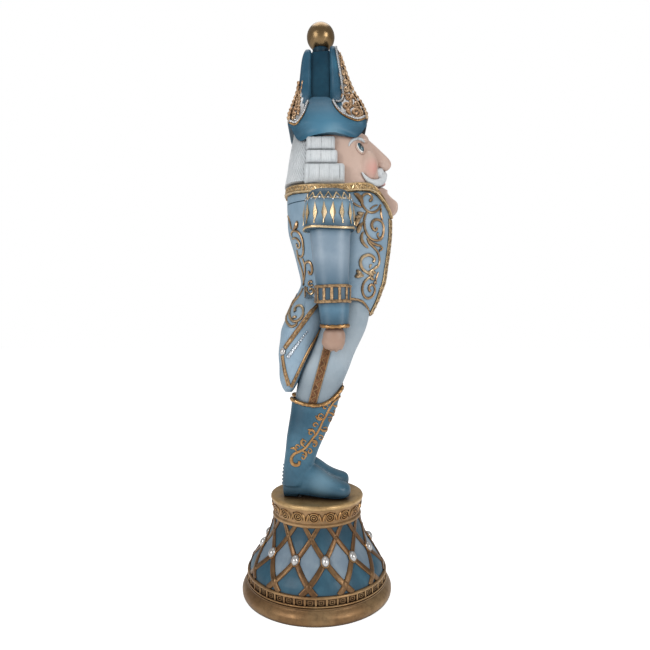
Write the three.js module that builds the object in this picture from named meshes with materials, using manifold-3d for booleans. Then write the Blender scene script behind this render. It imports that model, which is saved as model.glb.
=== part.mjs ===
// Tall nutcracker figure on a bell-shaped pedestal, facing +X, in millimetres, +Z up.
// The origin is the centre of the pedestal's underside. The jaw, its arm and the back lever are one
// rocker that turns on a steel pin through the head; everything else is fixed.
import * as THREE from 'three';
import { mergeVertices } from 'three/addons/utils/BufferGeometryUtils.js';
import Module from 'manifold-3d';

const wasm = await Module();
wasm.setup();

// ---------- driving dimensions ----------
const GAP = 0.4;                 // clearance kept between touching castings
const WALL = 8;                  // wall of the hollow castings
const FOOT_R = 198;              // pedestal foot radius
const FOOT_TOP = 33.5;
const BAND_TOP = 61;             // top of the dentil band
const BELL_TOP = 197.6;
const PLATE_R = 123;             // standing plate
const PLATE_TOP = 257;
const PLATE_BOTTOM = 244.4;
const PEARL_Z = 128;             // ring of pearls round the bell
const PEARL_COUNT = 12;
const LATTICE_PHASE = 9;         // degrees from -Y to the first pearl
const STRAP_RISE = 47;           // height between two lattice crossings
const NECK_HALF = 31;            // half the coat's front opening
const JAW_HALF = 24;
const LEVER_HALF = 20;
const CHANNEL_HALF = 27;         // half the channel through the head
const PIVOT = [-28, 1100];       // X and Z of the jaw pin
const PIN_R = 4;
const BALL_R = 37.3;
const BALL_AT = [10, 1478.6];    // X and Z of the finial's centre
const ROUND = 28;                // corners round a body section
const rad = (degrees) => degrees * Math.PI / 180;

// ---------- outlines: [height, ..., ...], read with a smooth curve ----------
const BELL = [[BAND_TOP + GAP, 176], [81, 170], [100, 157], [128, 137], [161, 122], [BELL_TOP, 112]];
//            Z, back X, front X, half width
const TORSO = [
  [725, -84, 143, 99], [767, -65, 164, 97], [795, -50, 175, 93], [816, -43, 183, 91], [860, -52, 189, 97],
  [903, -63, 195, 101], [950, -76, 199, 103], [1000, -79, 196, 103], [1040, -80, 176, 99],
    [1072, -78, 150, 92],
];
const LEG = [
  [495, -58, 54, 32], [540, -52, 63, 33], [593, -42, 84, 38], [635, -24, 100, 41],
  [697, 0, 128, 42], [745, 8, 138, 42], [787, 10, 138, 40],
];
const LEG_Y = 43.5;
const SHAFT = [
  [296, -88, -20, 27], [342, -86, -6, 29], [384, -81, 8, 31], [415, -78, 21, 33],
  [447, -73, 34, 35], [478, -68, 47, 36], [535, -62, 66, 36],
];
const TAIL = [
  [527, -86, -68, 8], [540, -93, -60, 19], [567, -100, -48, 29], [600, -101, -34, 37], [632, -103, -18, 42],
  [665, -99, -4, 45], [697, -95, 9, 46], [730, -84, 16, 46], [766, -66, 12, 46],
];
const SLEEVE = [[799.8, 0, 80, 31], [860, -8, 81, 33], [918, -14, 83, 34], [934.4, -16, 84, 34]];
const EPAULETTE = [[935, -30, 92, 42], [960, -29, 91, 42], [1000, -27, 89, 40], [1022, -20, 82, 33],
  [1034, -8, 70, 22]];
const ARM_Y = 138;
const HEAD = [
  [1040, -50, 150, 78], [1062, -51, 160, 80], [1085, -52, 168, 81], [1110, -52, 166, 80],
  [1140, -52, 158, 79], [1170, -51, 149, 76], [1204, -48, 137, 70],
];
const HAIR = [[1072.6, -84, -20, 82], [1100, -74, -20, 80], [1135, -67, -20, 78], [1170, -61, -20, 76],
  [1202, -56, -20, 72]];
const FRONT_FLAP = [
  [1222, 32, 124, 82], [1241, 32, 127, 80], [1262, 32, 121, 70], [1282, 32, 114, 60], [1301, 32, 104, 50],
  [1322, 32, 94, 43], [1357, 32, 80, 42], [1401, 32, 66, 42], [1428, 32, 56, 40], [1440, 34, 50, 32],
];
const BACK_FLAP = [
  [1222, -70, -13, 80], [1241, -70, -13, 78], [1262, -65, -13, 69], [1282, -60, -13, 59],
    [1301, -55, -13, 49],
  [1322, -50, -13, 43], [1357, -46, -13, 42], [1401, -41, -13, 42], [1420, -36, -13, 40],
    [1431, -31, -15, 32],
];
// angle from the front in degrees, height of the coat's upper edge and of its lower edge
const NECKLINE = [[0, 978], [18, 982], [26, 1004], [36, 1036], [50, 1044], [90, 1036], [140, 1041],
  [180, 1044]];
const HEM = [[0, 745], [19, 728], [40, 746], [60, 764], [90, 768], [180, 768]];

// ---------- small tools ----------
// Value of column c of a keyed outline at t, on a cubic with Catmull-Rom slopes.
function at(outline, t, c = 1) {
  const last = outline.length - 1;
  if (t <= outline[0][0]) return outline[0][c];
  if (t >= outline[last][0]) return outline[last][c];
  let i = 0;
  while (outline[i + 1][0] < t) i++;
  const slope = (k) => {
    const [p, q] = [outline[Math.max(k - 1, 0)], outline[Math.min(k + 1, last)]];
    return (q[c] - p[c]) / (q[0] - p[0]);
  };
  const [a, b] = [outline[i], outline[i + 1]];
  const h = b[0] - a[0];
  const s = (t - a[0]) / h;
  const s2 = s * s;
  const s3 = s2 * s;
  return (2 * s3 - 3 * s2 + 1) * a[c] + (s3 - 2 * s2 + s) * h * slope(i)
    + (3 * s2 - 2 * s3) * b[c] + (s3 - s2) * h * slope(i + 1);
}

// Point on a rounded section: angle 0 is the front. power 2 is an ellipse, more is squarer.
function corner(angle, [cx, cy], a, b, power = 2.2) {
  const [c, s] = [Math.cos(angle), Math.sin(angle)];
  const bend = (v) => Math.sign(v) * Math.abs(v) ** (2 / power);
  return [cx + a * bend(c), cy + b * bend(s)];
}

// Closed solid through rings of points, all with the same count. Its faces are turned to point outwards.
function skin(rings) {
  const count = rings[0].length;
  const flat = rings.flat();
  const middle = (ring) => [0, 1, 2].map((k) => ring.reduce((sum, p) => sum + p[k], 0) / ring.length);
  const points = [...flat, middle(rings[0]), middle(rings[rings.length - 1])];
  const index = [];
  for (let r = 0; r < rings.length - 1; r++) {
    for (let i = 0; i < count; i++) {
      const [a, b] = [r * count + i, r * count + (i + 1) % count];
      index.push(a, b, b + count, a, b + count, a + count);
    }
  }
  const top = (rings.length - 1) * count;
  for (let i = 0; i < count; i++) {
    index.push(flat.length, (i + 1) % count, i);
    index.push(flat.length + 1, top + i, top + (i + 1) % count);
  }
  let volume = 0;
  for (let t = 0; t < index.length; t += 3) {
    const [p, q, r] = [0, 1, 2].map((k) => points[index[t + k]]);
    volume += p[0] * (q[1] * r[2] - q[2] * r[1]) + p[1] * (q[2] * r[0] - q[0] * r[2]) + p[2] * (q[0] * r[1] - q[1] * r[0]);
  }
  const geometry = new THREE.BufferGeometry();
  geometry.setAttribute('position', new THREE.Float32BufferAttribute(points.flat(), 3));
  geometry.setIndex(volume < 0 ? index.reverse() : index);
  return geometry;
}

// Upright body from an outline of [Z, back, front, half width] rows, grown outwards by grow.
function upright(outline, { y = 0, grow = 0, count = 16, power = 2.2, from, to, steps } = {}) {
  const low = from ?? outline[0][0] - (grow > 0 ? grow : 0);
  const high = to ?? outline[outline.length - 1][0] + (grow > 0 ? grow : 0);
  const heights = steps
    ? Array.from({ length: steps + 1 }, (_, i) => low + (high - low) * i / steps)
    : [low, ...outline.map((row) => row[0]).filter((z) => z > low + 1 && z < high - 1), high];
  return skin(heights.map((z) => Array.from({ length: count }, (_, i) => {
    const [back, front, half] = [1, 2, 3].map((c) => at(outline, z, c));
    const p = corner(2 * Math.PI * i / count, [(back + front) / 2, y], (front - back) / 2 + grow,
      half + grow, power);
    return [...p, z];
  })));
}

// A plate between y = -half and +half with the given outline in X and Z.
function slab(points, half, y = 0) {
  const shape = new THREE.Shape(points.map(([x, z]) => new THREE.Vector2(x, z)));
  return new THREE.ExtrudeGeometry(shape, { depth: 2 * half, bevelEnabled: false })
    .rotateX(Math.PI / 2).translate(0, y + half, 0);
}

function turned(profile, count = 32) {
  return new THREE.LatheGeometry(profile.map(([r, z]) => new THREE.Vector2(r, z)),
    count).rotateX(Math.PI / 2);
}

function rod(radius, length, count = 12) {
  return new THREE.CylinderGeometry(radius, radius, length, count);
}

function solid(geometry) {
  const bare = geometry.index ? geometry.toNonIndexed() : geometry.clone();
  bare.deleteAttribute('normal');
  bare.deleteAttribute('uv');
  const merged = mergeVertices(bare, 1e-3);
  return new wasm.Manifold(new wasm.Mesh({
    numProp: 3,
    vertProperties: merged.attributes.position.array,
    triVerts: new Uint32Array(merged.index.array),
  }));
}

function shapeOf(manifold) {
  const mesh = manifold.getMesh();
  const geometry = new THREE.BufferGeometry();
  geometry.setAttribute('position', new THREE.BufferAttribute(new Float32Array(mesh.vertProperties), 3));
  geometry.setIndex(new THREE.BufferAttribute(new Uint32Array(mesh.triVerts), 1));
  return geometry;
}

const cut = (body, ...tools) => tools.reduce((rest, tool) => rest.subtract(solid(tool)), body);
const join = (...parts) => parts.slice(1).reduce((all, part) => all.add(solid(part)), solid(parts[0]));
const box = (x0, x1, y0, y1, z0, z1) => new THREE.BoxGeometry(x1 - x0, y1 - y0, z1 - z0)
  .translate((x0 + x1) / 2, (y0 + y1) / 2, (z0 + z1) / 2);

// ---------- finishes ----------
const finish = (color, roughness, metalness = 0) => new THREE.MeshStandardMaterial({ color, roughness,
  metalness });
const PAINT = {
  gold: finish(0xa8783a, 0.38, 0.85),
  deepBlue: finish(0x2f5a78, 0.45),
  skyBlue: finish(0x8fb0c8, 0.5),
  trouser: finish(0xa3b7c6, 0.5),
  skin: finish(0xd6b09a, 0.5),
  hair: finish(0xdfe3e6, 0.6),
  pearl: finish(0xe8e6e4, 0.2),
  steel: finish(0x8d9094, 0.35, 1),
  board: finish(0x3b3028, 0.9),
};
const figure = new THREE.Group();
function add(name, shape, paint) {
  const mesh = new THREE.Mesh(shape instanceof wasm.Manifold ? shapeOf(shape) : shape, PAINT[paint]);
  mesh.name = name;
  figure.add(mesh);
  return mesh;
}

// ---------- pedestal ----------
const bellR = (z) => at(BELL, z);

function footRing() {
  return turned([[176, 0], [193, 0], [197.6, 5], [FOOT_R, 15], [194, 27], [187, FOOT_TOP],
    [176, FOOT_TOP], [176, 0]]);
}

function dentilBand() {
  const teeth = 36;
  const [low, high] = [179, 183];
  const points = [];
  for (let i = 0; i < teeth; i++) {
    [[0.24, low], [0.26, high], [0.74, high], [0.76, low]].forEach(([share, r]) => {
      const a = 2 * Math.PI * (i + share) / teeth;
      points.push(new THREE.Vector2(r * Math.cos(a), r * Math.sin(a)));
    });
  }
  const shape = new THREE.Shape(points);
  shape.holes.push(new THREE.Path().absarc(0, 0, 166, 0, 2 * Math.PI, true));
  return new THREE.ExtrudeGeometry(shape, { depth: BAND_TOP - FOOT_TOP - GAP, bevelEnabled: false,
    curveSegments: 20 })
    .translate(0, 0, FOOT_TOP + GAP);
}

function bell() {
  const outer = [BELL[0][0], 81, 100, 118, 140, 166, BELL_TOP].map((z) => [bellR(z), z]);
  const inner = [BELL_TOP, 140, 100, BELL[0][0]].map((z) => [bellR(z) - WALL - 2, z]);
  return turned([...outer, ...inner, outer[0]]);
}

// One gold strap lying on the bell and leaning one way (lean 1) or the other (lean -1) through a
// pearl's place.
function strap(pearl, lean) {
  const heights = [BAND_TOP + 2 * GAP, 81, 118, BELL_TOP - GAP];
  const [half, lift, thick] = [5, 2, 4];
  const place = (z, side, height) => {
    const a = rad(LATTICE_PHASE + pearl * 360 / PEARL_COUNT - 90 + lean * (z - PEARL_Z) / STRAP_RISE * 180 / PEARL_COUNT);
    const r = bellR(z) + height;
    const b = a + side * half / bellR(z);
    return [r * Math.cos(b), r * Math.sin(b), z];
  };
  return skin(heights.map((z) => [place(z, -1, lift), place(z, 0, lift + thick), place(z, 1, lift)]));
}

function lattice() {
  const straps = [];
  for (let k = 0; k < PEARL_COUNT; k++) straps.push(strap(k, 1), strap(k, -1));
  return join(...straps);
}

function pearl(k) {
  const [wide, tall, deep] = [9.5, 12.5, 8];
  const slope = Math.atan2(bellR(PEARL_Z - 10) - bellR(PEARL_Z + 10), 20);
  const dome = [[0, 0], [1, 0], [0.85, 0.5], [0.5, 0.86], [0, 1]];
  const shape = turned(dome, 10).scale(tall, wide, deep);
  const a = rad(LATTICE_PHASE + k * 360 / PEARL_COUNT - 90);
  return shape.rotateY(Math.PI / 2 - slope).translate(bellR(PEARL_Z) + 8.2, 0, PEARL_Z).rotateZ(a);
}

function topBand() {
  return turned([[100, 198], [116.5, 198], [118, 202], [116, 207], [114.5, 210], [118, 228],
    [120.5, 244], [100, 244], [100, 198]]);
}

function topPlate() {
  const disc = turned([[0, PLATE_BOTTOM], [119, PLATE_BOTTOM], [122, 247], [PLATE_R, 251], [122, 255],
    [119, PLATE_TOP], [0, PLATE_TOP]]);
  return cut(solid(disc), ...[-1, 1].map((side) => rod(5.5, 60).rotateX(Math.PI / 2).translate(-45,
    side * 38, 250)));
}

add('base_foot_ring', footRing(), 'gold');
add('base_dentil_band', dentilBand(), 'gold');
add('base_bell', bell(), 'deepBlue');
add('base_lattice', lattice(), 'gold');
for (let k = 0; k < PEARL_COUNT; k++) add(`base_pearl_${String(k + 1).padStart(2, '0')}`, pearl(k),
  'pearl');
add('base_top_band', topBand(), 'gold');
add('base_top_plate', topPlate(), 'gold');
add('base_bottom_plate', turned([[0, 0], [175.5, 0], [175.5, 8], [0, 8]]), 'board');

// ---------- legs and boots, made for the left side (+Y) and mirrored ----------
const mirrored = (manifold, side) => (side > 0 ? manifold : manifold.mirror([0, 1, 0]));
const SIDES = [[1, 'left'], [-1, 'right']];

const shaftTop = (angle) => 500 + 30 * Math.max(0, Math.cos(angle)) ** 3 + 5 * Math.max(0,
  -Math.cos(angle));

function shaftRing(z, grow, count = 20) {
  return Array.from({ length: count }, (_, i) => {
    const angle = 2 * Math.PI * i / count;
    const height = typeof z === 'function' ? z(angle) : z;
    const [back, front, half] = [1, 2, 3].map((c) => at(SHAFT, height, c));
    return [...corner(angle, [(back + front) / 2, LEG_Y], (front - back) / 2 + grow, half + grow), height];
  });
}

function foot() {
  //            X, half width, underside Z, top Z
  const rows = [[-87, 12, 258, 330], [-80, 22, 256, 345], [-50, 27, 256, 348], [-20, 29, 258, 344],
    [5, 30, 258, 330],
    [28, 32, 257, 313], [55, 31, 257, 301], [76, 25, 261, 296], [87, 14, 268, 292]];
  const shape = skin(rows.map(([x, half, low, high]) => Array.from({ length: 14 }, (_, i) => {
    const [across, up] = corner(2 * Math.PI * i / 14, [0, (low + high) / 2], half, (high - low) / 2, 2.7);
    return [x, across, up];
  })));
  return shape.translate(85, 0, 0).rotateZ(rad(7)).translate(-85, 33, 0);
}

function shaft(grow = 0) {
  return skin([300, 342, 395, 447, 478].map((z) => shaftRing(z, grow)).concat([
    shaftRing((angle) => shaftTop(angle) - 14, grow), shaftRing((angle) => shaftTop(angle) + 2 * grow,
      grow)]));
}

function boot() {
  const arch = slab([[-46, 250], [-46, 266], [-10, 263], [20, 259], [30, 256], [30, 250]], 60, 40);
  const floor = box(-130, 130, -20, 120, 200, PLATE_TOP + GAP);
  return cut(join(shaft(), foot()), arch, floor, bootBolt(1, GAP));
}

function bootBolt(side, grow = 0) {
  return rod(5 + grow, 80 + 2 * grow).rotateX(Math.PI / 2).translate(-45, side * 38, 262);
}

function bolt(side) {
  const head = new THREE.CylinderGeometry(9, 9, 8, 6).rotateX(Math.PI / 2).translate(-45, side * 38, 240);
  return join(bootBolt(side), head);
}

function leg(grow = 0) {
  return upright(LEG, { y: LEG_Y, grow, from: LEG[0][0] });
}

function bootTrim() {
  const ring = (lift, grow) => shaftRing((angle) => shaftTop(angle) + lift, grow);
  const outer = skin([ring(-8, 4), ring(-4, 6), ring(4, 6), ring(8, 4)]);
  const inner = skin([ring(-2, -5), ring(12, -5)]);
  return cut(solid(outer), shaft(GAP), inner);
}

// Trouser stripe: a band down the outer side of the leg.
function stripe() {
  const outline = LEG;
  const place = (z, turn, lift) => {
    const [back, front, half] = [1, 2, 3].map((c) => at(outline, z, c));
    return [...corner(rad(90 + turn), [(back + front) / 2 - 4, LEG_Y], (front - back) / 2, half + lift), z];
  };
  const heights = [512, 545, 580, 615, 650, 690];
  return skin(heights.map((z) => [place(z, -10, 1), place(z, -10, 3.5), place(z, 0, 4),
    place(z, 10, 3.5), place(z, 10, 1)]));
}

const trimSolid = bootTrim();
const bootSolid = cut(boot(), upright(LEG, { y: LEG_Y, grow: GAP, from: 494 }));
// The legs stop inside the coat and leave room for the waistcoat behind its front opening.
const coatWall = cut(join(coatBody(1), coatBody(1).translate(0, 0, -1.5)),
  upright(TORSO, { grow: -WALL - 3, from: 690, to: 820, count: ROUND }));
const legSolid = cut(solid(leg()).subtract(coatWall), box(120, 220, -60, NECK_HALF + 1, 738, 800));
const stripeSolid = cut(solid(stripe()), leg(0.5));
for (const [side, word] of SIDES) {
  add(`boot_${word}`, mirrored(bootSolid, side), 'deepBlue');
  add(`boot_trim_${word}`, mirrored(trimSolid.subtract(solid(leg(0.5))), side), 'gold');
  add(`leg_${word}`, mirrored(legSolid, side), 'trouser');
  add(`leg_stripe_${word}`, mirrored(stripeSolid, side), 'gold');
  add(`boot_bolt_${word}`, bolt(side), 'steel');
}

// ---------- coat ----------
// Reads an outline keyed by degrees from the front, the same on both sides.
function folded(outline, angle) {
  return at(outline, Math.abs(((angle * 180 / Math.PI + 180) % 360 + 360) % 360 - 180));
}

function coatRing(height, grow, count = ROUND) {
  return Array.from({ length: count }, (_, i) => {
    const angle = 2 * Math.PI * i / count;
    const z = height(angle);
    const [back, front, half] = [1, 2, 3].map((c) => at(TORSO, z, c));
    return [...corner(angle, [(back + front) / 2, 0], (front - back) / 2 + grow, half + grow), z];
  });
}

function coatBody(grow = 0) {
  const shares = [0, 0.13, 0.28, 0.46, 0.66, 0.84, 1];
  return skin(shares.map((share) => coatRing((a) => {
    const [low, high] = [folded(HEM, a), folded(NECKLINE, a)];
    return low + (high - low) * share;
  }, grow)));
}

function coatShell() {
  const upper = upright(TORSO, { grow: -WALL, from: 797, to: 1080, count: ROUND });
  const lower = upright(TORSO, { grow: -WALL, from: 700, to: 788, count: ROUND });
  const slots = [box(-120, 0, -LEVER_HALF - 0.7, LEVER_HALF + 0.7, 834, 1090),
    box(110, 230, -NECK_HALF, NECK_HALF, 700, 1090)];
  return cut(solid(coatBody()), upper, lower, ...slots);
}

// Band that follows the coat's upper edge from one side of the front opening round to the other.
function collar() {
  const [start, end, steps] = [19, 341, 25];
  const rings = [];
  for (let i = 0; i <= steps; i++) {
    const angle = rad(start + (end - start) * i / steps);
    const z = folded(NECKLINE, angle) + GAP;
    const [back, front, half] = [1, 2, 3].map((c) => at(TORSO, Math.min(z, 1050), c));
    const place = (grow, lift) => [
      ...corner(angle, [(back + front) / 2, 0], (front - back) / 2 + grow, half + grow), z + lift];
    rings.push([place(-WALL, -3), place(5, -3), place(6, 12), place(3, 25), place(-WALL, 25)]);
  }
  const leverNotch = box(-120, -50, -LEVER_HALF - 1, LEVER_HALF + 1, 1030, 1048);
  return cut(solid(skin(rings)), coatBody(GAP).translate(0, 0, 0.4), leverNotch);
}

// Gold edge of the front opening, on the coat from the neckline down to the hem's point.
function placket() {
  const heights = [734, 760, 800, 840, 880, 920, 955, 978];
  return skin(heights.map((z) => {
    const [back, front, half] = [1, 2, 3].map((c) => at(TORSO, z, c));
    const place = (y, lift) => {
      const s = Math.min(1, y / half) ** 1.1;
      const x = (back + front) / 2 + ((front - back) / 2) * Math.max(0, 1 - s * s) ** (1 / 2.2);
      return [x + lift, y, z];
    };
    return [place(NECK_HALF, -3), place(NECK_HALF, 7), place(NECK_HALF + 6, 7.5),
      place(NECK_HALF + 12, 5), place(NECK_HALF + 12, -3)];
  }));
}

function waistcoat() {
  const heights = [742, 780, 816, 860, 905, 953];
  const front = heights.map((z) => [at(TORSO, z, 2) - 14, z]);
  const back = heights.map((z) => [at(TORSO, z, 2) - 22, z]).reverse();
  return slab([...front, ...back], NECK_HALF - GAP);
}

const coatGrown = coatBody(GAP);
const legGrown = leg(0.6);
const tailSolid = cut(
  solid(upright(TAIL, { y: 48 })), legGrown, mirroredShape(legGrown), box(-200, 200, -60, 1, 400, 900));

function mirroredShape(geometry) {
  return shapeOf(solid(geometry).mirror([0, 1, 0]));
}

function epaulette() {
  return cut(solid(upright(EPAULETTE, { y: ARM_Y, count: 20, power: 2.5 })), coatBody(GAP), collarBlock());
}

// The space of the collar and its clearance, as a solid cutter.
function collarBlock() {
  const ring = (lift, grow) => coatRing((a) => Math.min(folded(NECKLINE, a), 1046) + lift, grow);
  return skin([ring(-2, 6.6), ring(30, 6.6)]);
}

const sleeveSolid = solid(upright(SLEEVE, { y: ARM_Y }));
const cuffBandSolid = solid(upright([[758, -2, 84, 33], [799.4, -3, 84, 34]],
  { y: ARM_Y - 1, power: 2.4 }));
const cuffSolid = solid(upright([[698, 13, 78, 29], [757.6, 5, 82, 32]], { y: ARM_Y - 3, power: 2.4 }));
const HAND = [[636, 32, 58, 13], [643, 22, 68, 20], [660, 17, 72, 24], [680, 18, 71, 23],
  [697.6, 24, 66, 19]];
const handSolid = solid(upright(HAND, { y: ARM_Y - 10, power: 2.4 }));
const epauletteSolid = epaulette();

add('coat_body', coatShell(), 'skyBlue');
add('collar', collar(), 'gold');
add('waistcoat', waistcoat(), 'trouser');
for (const [side, word] of SIDES) {
  add(`coat_tail_${word}`, mirrored(tailSolid, side), 'skyBlue');
  add(`placket_${word}`, cut(mirrored(solid(placket()), side), coatGrown), 'gold');
  add(`sleeve_${word}`, mirrored(sleeveSolid, side), 'skyBlue');
  add(`epaulette_${word}`, mirrored(epauletteSolid, side), 'deepBlue');
  add(`cuff_band_${word}`, mirrored(cuffBandSolid, side), 'gold');
  add(`cuff_${word}`, mirrored(cuffSolid, side), 'deepBlue');
  add(`hand_${word}`, mirrored(handSolid, side), 'skin');
}

// ---------- hat ----------
const BRIM_X = 29;

// Point of the brim: share 0 is the lower edge, 1 the edge under the flaps.
function brimPoint(angle, share, grow = 0) {
  const c = Math.cos(angle);
  const low = 1176 + (c > 0 ? 34 : 22) * c * c;
  const high = 1301 - (c > 0 ? 62 : 70) * Math.abs(c) ** 1.2;
  const a = at([[0, 98], [0.2, 104], [0.6, 104], [1, 104]], share) + grow;
  const b = at([[0, 97], [0.2, 98], [0.6, 78], [1, 48]], share) + grow;
  return [...corner(angle, [BRIM_X, 0], a, b, 2.1), low + (high - low) * share];
}

function brim(grow = 0) {
  return skin([0, 0.2, 0.45, 0.7, 1].map((share) => Array.from({ length: 28 }, (_, i) => {
    const p = brimPoint(2 * Math.PI * i / 28, share, grow);
    return [p[0], p[1], p[2] + (share === 0 ? -grow : share === 1 ? grow : 0)];
  })));
}

const brimGrown = brim(GAP);
const flapSolid = (outline) => cut(solid(upright(outline, { count: 20, power: 3.2 })), brimGrown);
const ballAt = (shape) => shape.translate(BALL_AT[0], 0, BALL_AT[1]);
const stud = rod(12, 12, 16).rotateX(Math.PI / 2).translate(BALL_AT[0], 0, 1442.5);

add('hat_brim', brim(), 'deepBlue');
add('hat_crown', cut(solid(box(-12.6, 31.6, -30, 30, 1270, 1436)), brimGrown), 'deepBlue');
add('hat_front_flap', cut(flapSolid(FRONT_FLAP), box(-80, 32, -120, 120, 1200, 1460)), 'deepBlue');
add('hat_back_flap', cut(flapSolid(BACK_FLAP), box(-13, 150, -120, 120, 1200, 1460)), 'deepBlue');
add('finial_stud', cut(solid(stud), ballAt(new THREE.SphereGeometry(BALL_R + 1, 20, 12))), 'steel');
add('finial_ball', ballAt(new THREE.SphereGeometry(BALL_R, 20, 12).rotateX(Math.PI / 2)), 'gold');

// ---------- head ----------
// The pin's hole through a plate, or the pin itself.
const pinAt = (radius, length) => rod(radius, length, 32).translate(PIVOT[0], 0, PIVOT[1]);

// Space for the jaw's arm and the lever, open below.
const channel = slab(
  [[-62, 1000], [-62, 1119], [-26, 1120], [-8, 1117], [45, 1101], [120, 1081], [210, 1079],
    [210, 1000]], CHANNEL_HALF);

function nose() {
  //            Z, back X, front X, half width
  const rows = [[1119, 150, 186, 10], [1124, 140, 193, 17], [1135, 138, 197, 20], [1150, 135, 190, 19],
    [1168, 130, 174, 15], [1186, 125, 158, 12], [1198, 120, 145, 10]];
  return upright(rows, { count: 16 });
}

// Spigot that drops into the coat's neck.
function spigot() {
  return upright(TORSO, { grow: -WALL - 2, from: 1012, to: 1040, count: ROUND });
}

function head() {
  const face = upright(HEAD, { count: 24, power: 2.35 });
  const plug = cut(solid(spigot()), box(110, 240, -130, 130, 990, 1060));
  return cut(
    join(face, nose()).add(plug), channel, brimGrown, pinAt(PIN_R + 0.3, 240),
    box(-120, 130, -60, 60, 990, 1040));
}

function moustache() {
  const half = [[187, 0, 1104, 12], [184, 14, 1096, 13], [174, 32, 1087, 11], [158, 52, 1083, 9],
    [142, 66, 1086, 7],
    [129, 76, 1094, 4]];
  const path = [...half.slice(1).reverse().map(([x, y, z, r]) => [x, -y, z, r]), ...half];
  const rings = path.map(([x, y, z, r], i) => {
    const [before, after] = [path[Math.max(i - 1, 0)], path[Math.min(i + 1, path.length - 1)]];
    const along = new THREE.Vector3(after[0] - before[0], after[1] - before[1],
      after[2] - before[2]).normalize();
    const out = new THREE.Vector3(1, 0, 0).addScaledVector(along, -along.x).normalize();
    const up = new THREE.Vector3().crossVectors(along, out);
    return Array.from({ length: 8 }, (_, k) => {
      const a = 2 * Math.PI * k / 8;
      const p = new THREE.Vector3(x, y, z).addScaledVector(out,
        r * 0.75 * Math.cos(a)).addScaledVector(up, r * Math.sin(a));
      return p.toArray();
    });
  });
  return skin(rings);
}

const headSolid = head();
const headGrown = upright(HEAD, { count: 24, power: 2.35, grow: GAP });
const collarSpace = collarBlock();

function hair() {
  const fall = upright(HAIR.map(([z, back, , half]) => [z, back, -back - 40, half]),
    { count: 20, power: 2.5 });
    const leverSpace = box(-68, 0, -CHANNEL_HALF, CHANNEL_HALF, 1060, 1096);
  return cut(solid(fall), headGrown, box(-22, 200, -120, 120, 1060, 1210), brimGrown, leverSpace);
}

// Three stacked rolls of the wig over each ear.
function rolls() {
  //             bottom Z, top Z, back X, front X, outer Y
  const rows = [[1063, 1111, -30, 70, 103], [1110, 1142, -27, 51, 98], [1141, 1196, -26, 47, 96]];
  const parts = rows.map(([low, high, back, front, out]) => {
    const soft = Array.from({ length: 4 }, (_, i) => low + (high - low) * i / 3);
    return skin(soft.map((z, i) => {
      const inset = [5, 0, 0, 5][i];
      return Array.from({ length: 16 }, (_, k) => {
        const p = corner(2 * Math.PI * k / 16, [(back + front) / 2, out - 24],
          (front - back) / 2 - inset, 24 - inset, 3.5);
        return [...p, z];
      });
    }));
  });
  return cut(join(...parts), headGrown, collarSpace, brimGrown, box(-90, -21.6, 0, 120, 1000, 1250),
    coatGrown);
}

const rollSolid = rolls();
add('head', headSolid, 'skin');
add('moustache', cut(solid(moustache()), shapeOf(headSolid.add(solid(headGrown)))), 'hair');
add('back_hair', hair(), 'hair');
for (const [side, word] of SIDES) add(`side_curls_${word}`, mirrored(rollSolid, side), 'hair');

// ---------- rocker: jaw, lever and pin ----------
const boss = Array.from({ length: 9 }, (_, i) => {
  const a = rad(60 + 150 * i / 8);
  return [PIVOT[0] + 14 * Math.cos(a), PIVOT[1] + 14 * Math.sin(a)];
});
const JAW = [
  [150, 1068], [178, 1069], [188, 1061], [189, 1054], [203, 1043], [216, 1032], [218.5, 1022],
    [216, 1009], [207, 997],
  [190, 990], [172, 974], [163, 942], [146, 940], [138, 985], [108, 1040], [40, 1062], [-10, 1082],
    [-14, 1085],
  [-44, 1085],
].reverse();

function jaw() {
  const plate = slab([...JAW, [120, 1075], [40, 1096], ...boss], JAW_HALF);
  return cut(solid(plate), pinAt(PIN_R + 0.1, 100));
}

function lever() {
  const heights = [835, 860, 903, 950, 1000, 1034];
  const outer = heights.map((z) => [at(TORSO, z, 1) - 20, z]);
  const inner = heights.map((z) => [at(TORSO, z, 1) + 14, z]).reverse();
  const panel = solid(slab([...inner, ...outer], LEVER_HALF)).intersect(solid(upright(TORSO,
    { count: ROUND })));
  const link = slab([[-44, 1084.6], [-54, 1062], [-58, 1030], [-70, 1022], [-70, 985], [-44, 985],
    [-36, 1048], [-18, 1084.6]], 12);
  return panel.add(solid(link));
}

add('jaw', jaw(), 'skin');
add('lever', lever(), 'skyBlue');
add('jaw_pin', pinAt(PIN_R, 92), 'steel');

export default figure;
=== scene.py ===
import math

import bpy
import numpy as np
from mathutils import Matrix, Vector
from mathutils.bvhtree import BVHTree


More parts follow.
